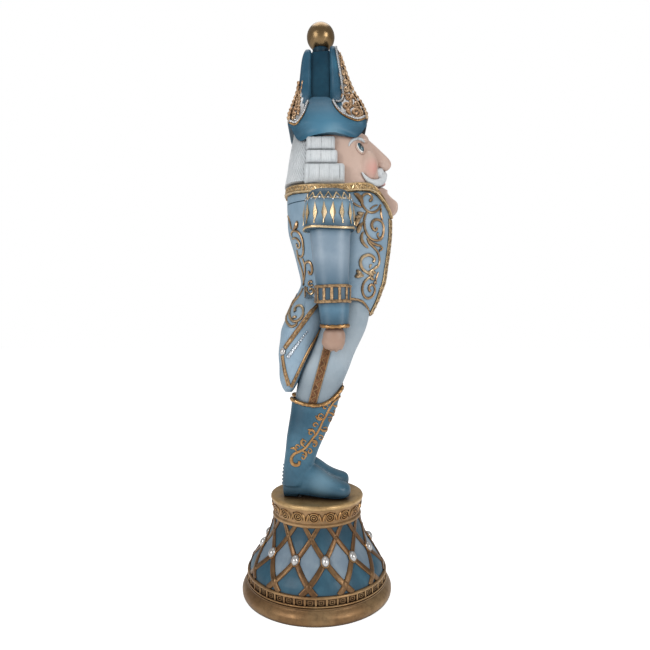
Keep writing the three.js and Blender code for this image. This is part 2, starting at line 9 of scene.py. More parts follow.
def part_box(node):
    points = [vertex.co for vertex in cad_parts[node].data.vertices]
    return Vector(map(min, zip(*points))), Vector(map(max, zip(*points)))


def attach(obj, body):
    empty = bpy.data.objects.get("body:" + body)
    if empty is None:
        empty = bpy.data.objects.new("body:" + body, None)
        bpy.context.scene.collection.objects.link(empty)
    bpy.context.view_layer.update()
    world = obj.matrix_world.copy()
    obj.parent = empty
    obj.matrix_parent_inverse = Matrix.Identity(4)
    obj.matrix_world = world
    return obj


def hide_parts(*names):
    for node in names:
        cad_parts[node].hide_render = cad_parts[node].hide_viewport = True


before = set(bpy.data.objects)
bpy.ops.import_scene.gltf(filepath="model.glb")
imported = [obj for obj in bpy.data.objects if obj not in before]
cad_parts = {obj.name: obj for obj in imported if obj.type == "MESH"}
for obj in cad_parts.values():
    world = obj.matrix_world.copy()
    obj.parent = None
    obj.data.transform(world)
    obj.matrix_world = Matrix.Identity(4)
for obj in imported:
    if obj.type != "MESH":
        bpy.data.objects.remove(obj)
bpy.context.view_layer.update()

# Lengths are millimetres in the CAD frame, except in the last section; MM turns them into metres.
MM = 0.001
# The body that everything but the jaw rides on.
GROUND = "figure"


# ---------------------------------------------------------------- objects
def linked(name, data):
    """A new object of the scene that shows this data."""
    obj = bpy.data.objects.new(name, data)
    bpy.context.scene.collection.objects.link(obj)
    return obj


def placed(name, verts, faces):
    """A new mesh object from points in its own units."""
    mesh = bpy.data.meshes.new(name)
    mesh.from_pydata(verts, [], faces)
    return linked(name, mesh)


def applied(obj):
    """A new mesh of the object as its modifiers leave it."""
    bpy.context.view_layer.update()
    return bpy.data.meshes.new_from_object(obj.evaluated_get(bpy.context.evaluated_depsgraph_get()))


# ---------------------------------------------------------------- materials
def new_material(name):
    mat = bpy.data.materials.new(name)
    mat.use_nodes = True
    tree = mat.node_tree
    shader = tree.nodes["Principled BSDF"]
    return mat, tree, shader


def node(tree, kind, inputs=None, **settings):
    """A shader node; an input is either a number or another node's output."""
    made = tree.nodes.new(kind)
    for key, value in settings.items():
        setattr(made, key, value)
    for key, value in (inputs or {}).items():
        if hasattr(value, "is_output"):
            tree.links.new(value, made.inputs[key])
        else:
            made.inputs[key].default_value = value
    return made


def mix(tree, share, a, b):
    """Colour a where share is 0, b where it is 1."""
    made = tree.nodes.new("ShaderNodeMix")
    made.data_type = "RGBA"
    for key, value in ((0, share), (6, a), (7, b)):
        if hasattr(value, "is_output"):
            tree.links.new(value, made.inputs[key])
        else:
            made.inputs[key].default_value = value if key == 0 else (*value[:3], 1)
    return made.outputs[2]


def ramp(tree, source, low, high):
    """A smooth step from 0 at low to 1 at high."""
    made = node(tree, "ShaderNodeMapRange", {0: source, 1: low, 2: high})
    made.interpolation_type = "SMOOTHSTEP"
    return made.outputs[0]


def coords(tree, scale=(1, 1, 1)):
    place = node(tree, "ShaderNodeTexCoord")
    return node(tree, "ShaderNodeMapping", {0: place.outputs["Object"], "Scale": scale}).outputs[0]


def noise(tree, scale, detail=4.0, rough=0.55, stretch=(1, 1, 1)):
    return node(tree, "ShaderNodeTexNoise", {"Vector": coords(tree, stretch), "Scale": scale,
                                             "Detail": detail, "Roughness": rough}).outputs["Fac"]


def occlusion(tree, reach):
    """1 on open surfaces, less in recesses narrower than reach, in metres."""
    return node(tree, "ShaderNodeAmbientOcclusion", {"Distance": reach}, samples=6).outputs["AO"]


# A fade is (Z where it is dark, Z where it ends, strength). A blush is (X, Y, Z, radius, colour, strength)
# and has a twin at -Y; some blushes are tints of the paint, others are painted highlights and painted shade.
def painted(name, base, wear_and_shade, rough=0.42, reach=0.018, shade_at=(0.35, 0.95), mottle=0.35, metal=0.0,
            coat=0.12, grain=0.12, pale=None, pattern=None, fades=(), tints_and_painted_light=(), gloss=0.5):
    """Airbrushed resin: a base colour, cloudy variation, darker worn specks, and painted shade in a dark
    colour that gathers in the recesses.
    """
    mat, tree, shader = new_material(name)
    pale = pale or tuple(min(1, c * 1.35 + 0.02) for c in base)
    clouds = ramp(tree, noise(tree, 9, 5, 0.6), 0.38, 0.68)
    colour = mix(tree, clouds, base, pale)
    specks = ramp(tree, noise(tree, 70, 6, 0.7), 0.42, 0.72)
    worn = node(tree, "ShaderNodeMath", {0: specks, 1: mottle}, operation="MULTIPLY").outputs[0]
    colour = mix(tree, worn, colour, wear_and_shade)
    # Painted shade: the dark colour is mixed in where ambient occlusion finds a recess within reach.
    painted_shade = ramp(tree, occlusion(tree, reach), *shade_at)
    colour = mix(tree, painted_shade, wear_and_shade, colour)
    xyz = node(tree, "ShaderNodeSeparateXYZ", {0: node(tree, "ShaderNodeTexCoord").outputs["Object"]})
    for dark_z, clear_z, strength in fades:
        share = node(tree, "ShaderNodeMapRange", {0: xyz.outputs[2], 1: dark_z * MM, 2: clear_z * MM,
                                                  3: strength, 4: 0.0})
        colour = mix(tree, share.outputs[0], colour, wear_and_shade)
    for x, y, z, radius, tint, strength in tints_and_painted_light:
        apart = node(tree, "ShaderNodeMath", {0: xyz.outputs[1]}, operation="ABSOLUTE").outputs[0]
        here = node(tree, "ShaderNodeCombineXYZ", {0: xyz.outputs[0], 1: apart, 2: xyz.outputs[2]}).outputs[0]
        far = node(tree, "ShaderNodeVectorMath", {0: here, 1: (x * MM, y * MM, z * MM)},
                   operation="DISTANCE").outputs["Value"]
        share = node(tree, "ShaderNodeMapRange", {0: far, 1: 0.0, 2: radius * MM, 3: strength, 4: 0.0})
        share.interpolation_type = "SMOOTHSTEP"
        colour = mix(tree, share.outputs[0], colour, tint)
    tree.links.new(colour, shader.inputs["Base Color"])
    spread = node(tree, "ShaderNodeMapRange", {0: noise(tree, 40, 4), 1: 0.3, 2: 0.7, 3: rough - 0.07,
                                               4: rough + 0.1})
    tree.links.new(spread.outputs[0], shader.inputs["Roughness"])
    shader.inputs["Metallic"].default_value = metal
    shader.inputs["Specular IOR Level"].default_value = gloss
    shader.inputs["Coat Weight"].default_value = coat
    shader.inputs["Coat Roughness"].default_value = 0.3
    height = noise(tree, 260, 5, 0.6)
    strength = grain
    if pattern == "stipple":
        cells = node(tree, "ShaderNodeTexVoronoi", {"Vector": coords(tree), "Scale": 190.0},
                     feature="SMOOTH_F1")
        height = node(tree, "ShaderNodeMath", {0: cells.outputs[0], 1: -1.0}, operation="MULTIPLY").outputs[0]
        strength = 0.9
        tint = ramp(tree, cells.outputs[0], 0.25, 0.75)
        darker = node(tree, "ShaderNodeMath", {0: tint, 1: 0.75}, operation="MULTIPLY").outputs[0]
        colour = mix(tree, darker, colour, wear_and_shade)
        tree.links.new(colour, shader.inputs["Base Color"])
    bump = node(tree, "ShaderNodeBump", {"Strength": strength, "Distance": 0.0012, "Height": height})
    tree.links.new(bump.outputs[0], shader.inputs["Normal"])
    return mat


MAT = {
    "scroll": painted("scroll_gold", (0.37, 0.228, 0.115), (0.050, 0.028, 0.016), rough=0.32, metal=0.75,
                      mottle=0.5, pale=(0.62, 0.47, 0.29), reach=0.006, shade_at=(0.55, 1.0), coat=0.2),
    "bright_gold": painted("bright_gold", (0.66, 0.47, 0.245), (0.085, 0.046, 0.022), rough=0.28, metal=0.85,
                           mottle=0.12, pale=(0.80, 0.64, 0.42), reach=0.007, shade_at=(0.45, 1.0), coat=0.25),
    "gold": painted("antique_gold", (0.380, 0.190, 0.070), (0.050, 0.024, 0.011), rough=0.33, metal=0.85,
                    mottle=0.42, pale=(0.54, 0.33, 0.145), reach=0.010, shade_at=(0.4, 0.98), coat=0.0),
    "foot": painted("foot_gold", (0.215, 0.120, 0.052), (0.040, 0.021, 0.010), rough=0.42, metal=0.75,
                    mottle=0.4, pale=(0.32, 0.205, 0.10), reach=0.010, shade_at=(0.4, 0.98), coat=0.0),
    "plate": painted("plate_gold", (0.470, 0.300, 0.130), (0.100, 0.055, 0.025), rough=0.40, metal=0.65,
                     mottle=0.35, pale=(0.62, 0.42, 0.20), reach=0.030, shade_at=(0.3, 0.98), coat=0.0),
    "recess_gold": painted("recess_gold", (0.330, 0.195, 0.085), (0.050, 0.026, 0.013), rough=0.45, metal=0.5,
                           mottle=0.35, reach=0.008, coat=0.0),
    "stripe": painted("stripe_gold", (0.170, 0.068, 0.021), (0.050, 0.020, 0.007), rough=0.42, metal=0.5,
                      mottle=0.3, reach=0.006, coat=0.0, pattern="stipple"),
    "strap": painted("strap_bronze", (0.150, 0.076, 0.032), (0.035, 0.018, 0.009), rough=0.36, metal=0.7,
                     mottle=0.5, pale=(0.235, 0.135, 0.060), reach=0.010, shade_at=(0.4, 0.98), coat=0.0),
    "hand": painted("hand_paint", (0.395, 0.250, 0.185), (0.16, 0.070, 0.045), rough=0.5, mottle=0.08,
                    pale=(0.48, 0.325, 0.25), reach=0.012, shade_at=(0.2, 0.95), coat=0.05),
    "gold_dark": painted("brown_gold", (0.285, 0.158, 0.068), (0.045, 0.022, 0.010), rough=0.36, metal=0.75,
                         mottle=0.4, pale=(0.44, 0.28, 0.135), reach=0.008, shade_at=(0.5, 1.0), coat=0.0),
    "gold_cloth": painted("stippled_gold", (0.40, 0.250, 0.118), (0.07, 0.042, 0.025), rough=0.45, metal=0.5,
                          mottle=0.3, reach=0.006, pattern="stipple"),
    "collar": painted("collar_gold", (0.66, 0.430, 0.190), (0.07, 0.042, 0.025), rough=0.45, metal=0.5,
                      mottle=0.3, reach=0.006, pattern="stipple"),
    "silver": painted("aged_silver", (0.44, 0.445, 0.45), (0.14, 0.125, 0.11), rough=0.32, metal=0.7,
                      mottle=0.3, reach=0.008),
    "crest": painted("crest_copper", (0.43, 0.245, 0.122), (0.11, 0.065, 0.035), rough=0.38, metal=0.6,
                     mottle=0.45, pale=(0.60, 0.44, 0.28), reach=0.010, shade_at=(0.35, 0.98)),
    "cuff": painted("cuff_blue", (0.060, 0.150, 0.230), (0.012, 0.036, 0.060), rough=0.42, mottle=0.15,
                    pale=(0.100, 0.210, 0.300), reach=0.018, fades=((700, 738, 0.75), (764, 744, 0.7))),
    "epaulette": painted("shoulder_blue", (0.150, 0.260, 0.350), (0.012, 0.042, 0.070), rough=0.42,
                         mottle=0.15, pale=(0.21, 0.325, 0.415), reach=0.018,
                         fades=((936, 966, 0.9), (1016, 992, 0.9))),
    "hat_blue": painted("hat_blue", (0.018, 0.076, 0.128), (0.006, 0.024, 0.040), rough=0.44, mottle=0.18,
                        pale=(0.032, 0.108, 0.172), reach=0.030, coat=0.04, gloss=0.3,
                        # Lighter patches on the brim's side, its hem and the front flap: painted highlights.
                        tints_and_painted_light=((30, 92, 1200, 105, (0.072, 0.215, 0.325), 0.95),
                                 (40, 92, 1184, 40, (0.23, 0.38, 0.47), 0.55),
                                 (62, 42, 1390, 34, (0.055, 0.200, 0.300), 0.7))),
    "ball_gold": painted("ball_gold", (0.215, 0.140, 0.066), (0.07, 0.042, 0.022), rough=0.27, metal=0.85,
                         mottle=0.12, reach=0.010, coat=0.0),
    "navy": painted("teal_navy", (0.005, 0.036, 0.064), (0.003, 0.012, 0.022), rough=0.48,
                    pale=(0.011, 0.056, 0.092), mottle=0.2, reach=0.030, coat=0.0, gloss=0.2),
    "coat": painted("coat_blue", (0.245, 0.362, 0.468), (0.035, 0.090, 0.140), rough=0.44, mottle=0.10,
                    pale=(0.315, 0.430, 0.530), reach=0.036, shade_at=(0.4, 0.99),
                    # Darker patches under the epaulette, beside the arm and at the back and tails: painted
                    # shade.
                    tints_and_painted_light=((25, 110, 1046, 72, (0.030, 0.095, 0.150), 0.9),
                             (-75, 60, 800, 64, (0.07, 0.17, 0.25), 0.5),
                             (-84, 40, 596, 60, (0.06, 0.15, 0.22), 0.5),
                             (60, 96, 820, 70, (0.10, 0.20, 0.28), 0.45))),
    "sleeve": painted("sleeve_blue", (0.205, 0.285, 0.365), (0.026, 0.092, 0.150), rough=0.45, mottle=0.06,
                      pale=(0.255, 0.335, 0.415), reach=0.036, fades=((794, 866, 0.85), (944, 915, 0.6))),
    "trouser": painted("trouser_grey", (0.300, 0.378, 0.440), (0.075, 0.110, 0.140), rough=0.47, mottle=0.10,
                       pale=(0.375, 0.445, 0.500), reach=0.045, fades=((548, 600, 0.4), (800, 735, 0.4))),
    # Boot paint: darker towards the sole and at the heel and the calf's back, painted shade; lighter over the
    # foot, a painted highlight.
    "boot": painted("boot_blue", (0.040, 0.122, 0.186), (0.010, 0.032, 0.052), rough=0.38, mottle=0.2,
                    pale=(0.080, 0.190, 0.270), reach=0.034, coat=0.12, gloss=0.3, fades=((260, 304, 0.85),),
                    tints_and_painted_light=((-84, 43, 300, 70, (0.014, 0.052, 0.086), 0.75),
                             (-55, 75, 470, 75, (0.014, 0.056, 0.094), 0.8),
                             (16, 62, 306, 50, (0.185, 0.325, 0.415), 0.75))),
    "skin": painted("flesh_paint", (0.565, 0.405, 0.330), (0.27, 0.150, 0.115), rough=0.5, mottle=0.08,
                    pale=(0.62, 0.455, 0.380), reach=0.012, shade_at=(0.2, 0.85), coat=0.08,
                    tints_and_painted_light=((146, 70, 1106, 36, (0.62, 0.29, 0.245), 0.8),
                             (200, 0, 1138, 20, (0.58, 0.33, 0.27), 0.4))),
    # Hair paint: darker towards the hat, painted shade under the brim.
    "hair": painted("hair_paint", (0.60, 0.635, 0.655), (0.23, 0.240, 0.245), rough=0.55, mottle=0.15,
                    fades=((1196, 1142, 0.42),), pale=(0.72, 0.745, 0.76), reach=0.007, shade_at=(0.2, 0.95),
                    coat=0.05),
    "pearl": painted("pearl_lacquer", (0.46, 0.45, 0.44), (0.14, 0.12, 0.10), rough=0.14, metal=0.5,
                     mottle=0.2, reach=0.010, coat=0.9, grain=0.02),
    "lip": painted("lip_paint", (0.66, 0.36, 0.34), (0.36, 0.15, 0.13), rough=0.4, mottle=0.1, reach=0.008),
    "white": painted("eye_white", (0.80, 0.79, 0.76), (0.42, 0.36, 0.32), rough=0.25, mottle=0.03,
                     reach=0.006, coat=0.5),
    "iris": painted("eye_iris", (0.020, 0.085, 0.115), (0.01, 0.03, 0.04), rough=0.2, mottle=0.3, reach=0.004,
                    coat=0.8),
    "pupil": painted("eye_pupil", (0.008, 0.008, 0.009), (0.003, 0.003, 0.003), rough=0.15, mottle=0.1,
                     reach=0.004, coat=1.0),
    "steel": painted("plain_steel", (0.42, 0.43, 0.44), (0.12, 0.12, 0.12), rough=0.32, metal=1.0,
                     mottle=0.15, reach=0.006),
    "board": painted("dark_board", (0.085, 0.062, 0.045), (0.03, 0.022, 0.016), rough=0.85, mottle=0.5,
                     reach=0.02, coat=0.0),
}


def crystal():
    """Cut glass stones: clear coat over a bright silver foil, with painted glints in facet-like cells."""
    mat, tree, shader = new_material("crystal")
    facets = node(tree, "ShaderNodeTexVoronoi", {"Vector": coords(tree), "Scale": 420.0})
    # Lighter and darker cells stand in for facets catching the light: painted glints.
    facet_glints = ramp(tree, facets.outputs[0], 0.1, 0.7)
    tree.links.new(mix(tree, facet_glints, (0.82, 0.86, 0.90), (0.35, 0.40, 0.46)), shader.inputs["Base Color"])
    shader.inputs["Metallic"].default_value = 0.85
    shader.inputs["Roughness"].default_value = 0.08
    shader.inputs["Coat Weight"].default_value = 1.0
    shader.inputs["Coat Roughness"].default_value = 0.02
    return mat


MAT["crystal"] = crystal()


# ---------------------------------------------------------------- geometry tools
def around(count):
    """Even angles of one full turn."""
    return np.linspace(0, 2 * math.pi, count, endpoint=False)


def unit(rows):
    """Vectors scaled to length one."""
    return rows / np.linalg.norm(rows, axis=-1, keepdims=True)


def columns(*values):
    """Rows of points from their coordinates; one number stands for a whole column."""
    return np.stack(np.broadcast_arrays(*values), -1)


def squared(wave, power):
    """A sine or cosine with its sign kept; a power under 1 makes the section squarer."""
    return np.sign(wave) * np.abs(wave) ** power


def hoop(centre, up, across, count):
    """Points of an ellipse from its middle and two half axes."""
    return [centre + up * math.cos(t) + across * math.sin(t) for t in around(count)]


def at(rows, t):
    """Values of a keyed outline at t, on a cubic with Catmull-Rom slopes."""
    rows = np.asarray(rows, float)
    keys, vals = rows[:, 0], rows[:, 1:]
    t = np.clip(np.atleast_1d(np.asarray(t, float)), keys[0], keys[-1])
    slopes = np.gradient(vals, keys, axis=0) if len(keys) < 3 else np.empty_like(vals)
    if len(keys) >= 3:
        slopes[1:-1] = (vals[2:] - vals[:-2]) / (keys[2:] - keys[:-2])[:, None]
        slopes[0] = (vals[1] - vals[0]) / (keys[1] - keys[0])
        slopes[-1] = (vals[-1] - vals[-2]) / (keys[-1] - keys[-2])
    i = np.clip(np.searchsorted(keys, t, side="right") - 1, 0, len(keys) - 2)
    h = keys[i + 1] - keys[i]
    s = ((t - keys[i]) / h)[:, None]
    h = h[:, None]
    return ((2 * s**3 - 3 * s**2 + 1) * vals[i] + (s**3 - 2 * s**2 + s) * h * slopes[i]
            + (3 * s**2 - 2 * s**3) * vals[i + 1] + (s**3 - s**2) * h * slopes[i + 1])


def make(name, verts, faces, mat, body=GROUND, replaces=(), angle=38):
    """A piece from points in millimetres, smooth except where faces meet sharply."""
    obj = placed(name, (np.asarray(verts, float) * MM).tolist(), [tuple(int(i) for i in f) for f in faces])
    mesh = obj.data
    mesh.validate()
    mesh.shade_smooth()
    mesh.set_sharp_from_angle(angle=math.radians(angle))
    mesh.materials.append(MAT[mat])
    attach(obj, body)
    if replaces:
        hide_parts(*replaces)
    return obj


def grid(rows, count):
    """Quads between neighbouring rings."""
    faces = []
    for a in range(0, (rows - 1) * count, count):
        for i in range(count):
            j = (i + 1) % count
            faces.append((a + i, a + j, a + count + j, a + count + i))
    return faces


class Bag:
    """Gathers many closed bits of one material into one piece."""

    def __init__(self):
        self.verts, self.faces = [], []

    def put(self, verts, faces):
        first = len(self.verts)
        self.verts.extend(np.asarray(verts, float).tolist())
        self.faces.extend([tuple(i + first for i in f) for f in faces])
        return self

    def mirrored(self):
        """The bag with a copy on the other side of the figure's middle."""
        flip = [(x, -y, z) for x, y, z in self.verts]
        other = [tuple(reversed(f)) for f in self.faces]
        both = Bag()
        return both.put(self.verts, self.faces).put(flip, other)

    def make(self, name, mat, **more):
        return make(name, self.verts, self.faces, mat, **more)

    def both(self, name, mat, replaces=None, **more):
        both_sides(name, (self.verts, self.faces), mat, replaces, **more)


def loft(rings):
    """Closed skin through rings (rows, count, 3), with a fan round the middle of each end."""
    rings = np.asarray(rings, float)
    rows, count = rings.shape[:2]
    verts = rings.reshape(-1, 3)
    faces = grid(rows, count)
    verts = np.vstack([verts, rings[0].mean(0), rings[-1].mean(0)])
    low, high = rows * count, rows * count + 1
    top = (rows - 1) * count
    faces += [(low, (i + 1) % count, i) for i in range(count)]
    faces += [(high, top + i, top + (i + 1) % count) for i in range(count)]
    volume = sum(np.dot(verts[f[0]], np.cross(verts[f[1]], verts[f[2]]))
                 + (np.dot(verts[f[0]], np.cross(verts[f[2]], verts[f[3]])) if len(f) == 4 else 0)
                 for f in faces)
    if volume < 0:
        faces = [tuple(reversed(f)) for f in faces]
    return verts, faces


def section(angle, centre, a, b, power=2.2):
    """Point of a rounded section; angle 0 is the front, power 2 an ellipse, more is squarer."""
    c, s = np.cos(angle), np.sin(angle)
    x = centre[0] + a * squared(c, 2 / power)
    y = centre[1] + b * squared(s, 2 / power)
    return x, y


def body_rings(outline, y=0.0, count=96, power=2.2, step=4.0, soft=0.0):
    """Rings of an upright body; soft rounds its two ends over that many millimetres."""
    outline = np.asarray(outline, float)
    low, high = outline[0, 0], outline[-1, 0]
    heights = np.linspace(low, high, max(3, int((high - low) / step)))
    spread = np.zeros_like(heights)
    if soft:
        turn = np.linspace(0, 1, 7)[:-1] * math.pi / 2
        rise, draw_in = soft * (1 - np.cos(turn)), soft * (1 - np.sin(turn))
        inner = heights[(heights > low + soft) & (heights < high - soft)]
        heights = np.concatenate([low + rise, inner, high - rise[::-1]])
        spread = np.concatenate([draw_in, np.zeros(len(inner)), draw_in[::-1]])
    angle = around(count)
    rings = []
    for z, inset in zip(heights, spread):
        back, front, half = at(outline, z)[0][:3]
        x, yy = section(angle, ((back + front) / 2, y), (front - back) / 2 - inset, half - inset, power)
        rings.append(columns(x, yy, z))
    return np.array(rings)


def revolve(profile, count=144):
    """Turned form about the pedestal's axis from closed (radius, height) points."""
    profile = np.asarray(profile, float)
    angle = around(count)
    rings = []
    for r, z in profile:
        rings.append(columns(r * np.cos(angle), r * np.sin(angle), z))
    verts = np.array(rings).reshape(-1, 3)
    faces = grid(len(profile), count)
    last = (len(profile) - 1) * count
    faces += [(last + i, last + (i + 1) % count, (i + 1) % count, i) for i in range(count)]
    return verts, [tuple(reversed(f)) for f in faces] if winding(profile) > 0 else faces


def winding(profile):
    """Positive for a closed outline whose points run clockwise."""
    x, y = profile[:, 0], profile[:, 1]
    return -np.sum(x * np.roll(y, -1) - np.roll(x, -1) * y)


def rounded(points, radius=2.0, cuts=4):
    """A closed outline with its corners rounded."""
    points = np.asarray(points, float)
    out = []
    for i, p in enumerate(points):
        before, after = points[i - 1], points[(i + 1) % len(points)]
        a, b = before - p, after - p
        la, lb = np.linalg.norm(a), np.linalg.norm(b)
        reach = min(radius, la * 0.45, lb * 0.45)
        start, end = p + a / la * reach, p + b / lb * reach
        for t in np.linspace(0, 1, cuts):
            out.append((1 - t) ** 2 * start + 2 * t * (1 - t) * p + t * t * end)
    return np.array(out)


def curve(points, step=1.5):
    """Smooth path through points of any dimension, at an even step."""
    points = np.asarray(points, float)
    if len(points) == 2:
        rows = np.column_stack([[0, 1], points])
        length = np.linalg.norm(points[1] - points[0])
        return at(rows, np.linspace(0, 1, max(2, int(length / step) + 1)))
    gaps = np.linalg.norm(np.diff(points[:, :3], axis=0), axis=1)
    keys = np.concatenate([[0], np.cumsum(gaps)])
    return at(np.column_stack([keys, points]), np.linspace(0, keys[-1], max(4, int(keys[-1] / step) + 1)))


def sweep(path, normal, half, height, sides=10, sink=0.35, closed=False):
    """A rounded ridge along a path: half is its half width, height how far it stands out."""
    path = np.asarray(path, float)
    normal = np.broadcast_to(np.asarray(normal, float), path.shape)
    n = len(path)
    half, height = np.broadcast_to(half, n), np.broadcast_to(height, n)
    along = (np.roll(path, -1, 0) - np.roll(path, 1, 0)) if closed else np.gradient(path, axis=0)
    along /= np.linalg.norm(along, axis=1)[:, None] + 1e-9
    side = np.cross(normal, along)
    side /= np.linalg.norm(side, axis=1)[:, None] + 1e-9
    turn = around(sides)
    up = np.where(np.sin(turn) > 0, np.sin(turn), sink * np.sin(turn))
    rings = (path[:, None] + side[:, None] * (half[:, None] * np.cos(turn))[..., None]
             + normal[:, None] * (height[:, None] * up)[..., None])
    verts = rings.reshape(-1, 3)
    faces = grid(n, sides)
    if closed:
        last = (n - 1) * sides
        faces += [(last + i, last + (i + 1) % sides, (i + 1) % sides, i) for i in range(sides)]
    else:
        faces += [tuple(range(sides - 1, -1, -1)), tuple((n - 1) * sides + i for i in range(sides))]
    return verts, [tuple(reversed(f)) for f in faces]


def dome(centre, normal, along, a, b, height, rings=6, sides=18, sink=0.3):
    """A rounded boss on a surface: a is its half size along, b across, height its rise."""
    normal = np.asarray(normal, float) / np.linalg.norm(normal)
    along = np.asarray(along, float) - normal * np.dot(along, normal)
    along = unit(along)
    across = np.cross(normal, along)
    turn = around(sides)
    rows = []
    for tilt in np.linspace(-0.45, math.pi / 2 * 0.97, rings):
        flat = math.cos(tilt)
        up = math.sin(tilt) if tilt > 0 else sink * math.sin(tilt)
        rows.append(centre + along * (a * flat * np.cos(turn))[:, None]
                    + across * (b * flat * np.sin(turn))[:, None] + normal * height * up)
    return loft(rows)


def ball(x, y, z, rx, ry, rz, count=24):
    """An ellipsoid with three half sizes."""
    turn = around(count)
    tilt = np.linspace(-math.pi / 2 + 0.12, math.pi / 2 - 0.12, 12)
    return loft([columns(x + rx * math.cos(t) * np.cos(turn), y + ry * math.cos(t) * np.sin(turn),
                         z + rz * math.sin(t)) for t in tilt])


def tree_of(part):
    """A search tree of a form, for rays."""
    verts, faces = part
    return BVHTree.FromPolygons([Vector(v) for v in verts], faces)


def onto(bvh, points, direction, start=600.0, lift=0.0):
    """Where points land on a surface along a direction, and its normals there; misses are left out."""
    direction = Vector(direction).normalized()
    hits, normals = [], []
    for p in points:
        origin = Vector(p) - direction * start
        hit, n, _, _ = bvh.ray_cast(origin, direction)
        if hit is None:
            continue
        if n.dot(direction) > 0:
            n = -n
        hits.append(np.array(hit + n * lift))
        normals.append(np.array(n))
    return np.array(hits), np.array(normals)


def settled(normals):
    """Normals evened out along a path."""
    n = np.array(normals, float)
    for _ in range(6):
        n[1:-1] = (n[:-2] + 2 * n[1:-1] + n[2:]) / 4
    return unit(n)


def remeshed(parts, voxel=2.5, smooth=6):
    """Several closed forms melted into one skin, as (verts, faces) in millimetres."""
    bag = Bag()
    for v, f in parts:
        bag.put(v, f)
    obj = placed("melt", bag.verts, bag.faces)
    skin = obj.modifiers.new("skin", "REMESH")
    skin.mode, skin.voxel_size, skin.adaptivity = "VOXEL", voxel, 0
    even = obj.modifiers.new("even", "SMOOTH")
    even.factor, even.iterations = 0.5, smooth
    done = applied(obj)
    verts = np.array([v.co for v in done.vertices])
    faces = [tuple(p.vertices) for p in done.polygons]
    bpy.data.objects.remove(obj)
    bpy.data.meshes.remove(done)
    return verts, faces


def cut_prism(obj, outline, half):
    """Takes a prism with an outline in X and Z, between -half and +half in Y, out of a piece."""
    n = len(outline)
    verts = [(x * MM, side * half * MM, z * MM) for side in (-1, 1) for x, z in outline]
    faces = [tuple(range(n)), tuple(range(2 * n - 1, n - 1, -1))]
    faces += [(i, n + i, n + (i + 1) % n, (i + 1) % n) for i in range(n)]
    tool = placed("prism", verts, faces)
    cut = obj.modifiers.new("cut", "BOOLEAN")
    cut.object, cut.operation, cut.solver = tool, "DIFFERENCE", "EXACT"
    done = applied(obj)
    obj.modifiers.remove(cut)
    obj.data = done
    bpy.data.objects.remove(tool)


def box_outline(x0, x1, z0, z1):
    return [(x0, z0), (x1, z0), (x1, z1), (x0, z1)]


def beside(path, normals):
    """Directions across a path that lies on a surface."""
    return np.cross(normals, unit(np.gradient(path, axis=0)))


# ---------------------------------------------------------------- pedestal
plate_low, plate_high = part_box("base_top_plate")
FOOT_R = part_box("base_foot_ring")[1].x / MM
PLATE_R = plate_high.x / MM
PLATE_TOP = plate_high.z / MM
PEARL_Z = (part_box("base_pearl_01")[0].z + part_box("base_pearl_01")[1].z) / 2 / MM
PEARLS = 12
# Height from a strap crossing to the next, and the angle of the first pearl.
STRAP_RISE = 47.0
PHASE = math.radians(9.0 - 90)
# Rows are [Z, radius].
BELL = [[60, 178.5], [75, 174.5], [85, 170], [96, 163], [106, 155.5], [117, 147], [130, 138], [145, 130],
        [161, 123.5], [176, 118.5], [190, 115], [206, 113]]
# A strap's flat-topped section, as (share of its half width, rise).
STRAP_SECTION = ((-1.05, -1.5), (-1, 1.2), (-0.86, 2.5), (-0.6, 3.0), (0, 3.15), (0.6, 3.0), (0.86, 2.5),
                 (1, 1.2), (1.05, -1.5))


def bell_r(z):
    """The bell's outer radius at a height."""
    return at(BELL, z)[:, 0]


def foot_moulding():
    foot = [(150, 0), (FOOT_R - 6, 0), (FOOT_R - 2.5, 1.5), (FOOT_R - 0.8, 5), (FOOT_R, 10), (FOOT_R, 15),
            (FOOT_R - 1.6, 20), (FOOT_R - 4.6, 25), (FOOT_R - 8.6, 29.5), (FOOT_R - 12, 32.5),
            (FOOT_R - 13, 34.5), (FOOT_R - 11.5, 36.2), (FOOT_R - 11.5, 38), (FOOT_R - 13.5, 39.6),
            (FOOT_R - 18, 40.2), (150, 40.2)]
    make("foot_moulding", *revolve(foot, 192), "foot", replaces=["base_foot_ring"])


def bell_shell():
    z = np.linspace(61.5, 204, 66)
    outer = np.column_stack([bell_r(z), z])
    inner = np.column_stack([bell_r(z[::-6]) - 9, z[::-6]])
    verts, faces = revolve(np.vstack([outer, inner]), 240)
    bell = make("bell_shell", verts, faces, "navy", replaces=["base_bell"])
    bell.data.materials.clear()
    bell.data.materials.append(bell_paint())


WINDOWS = 44


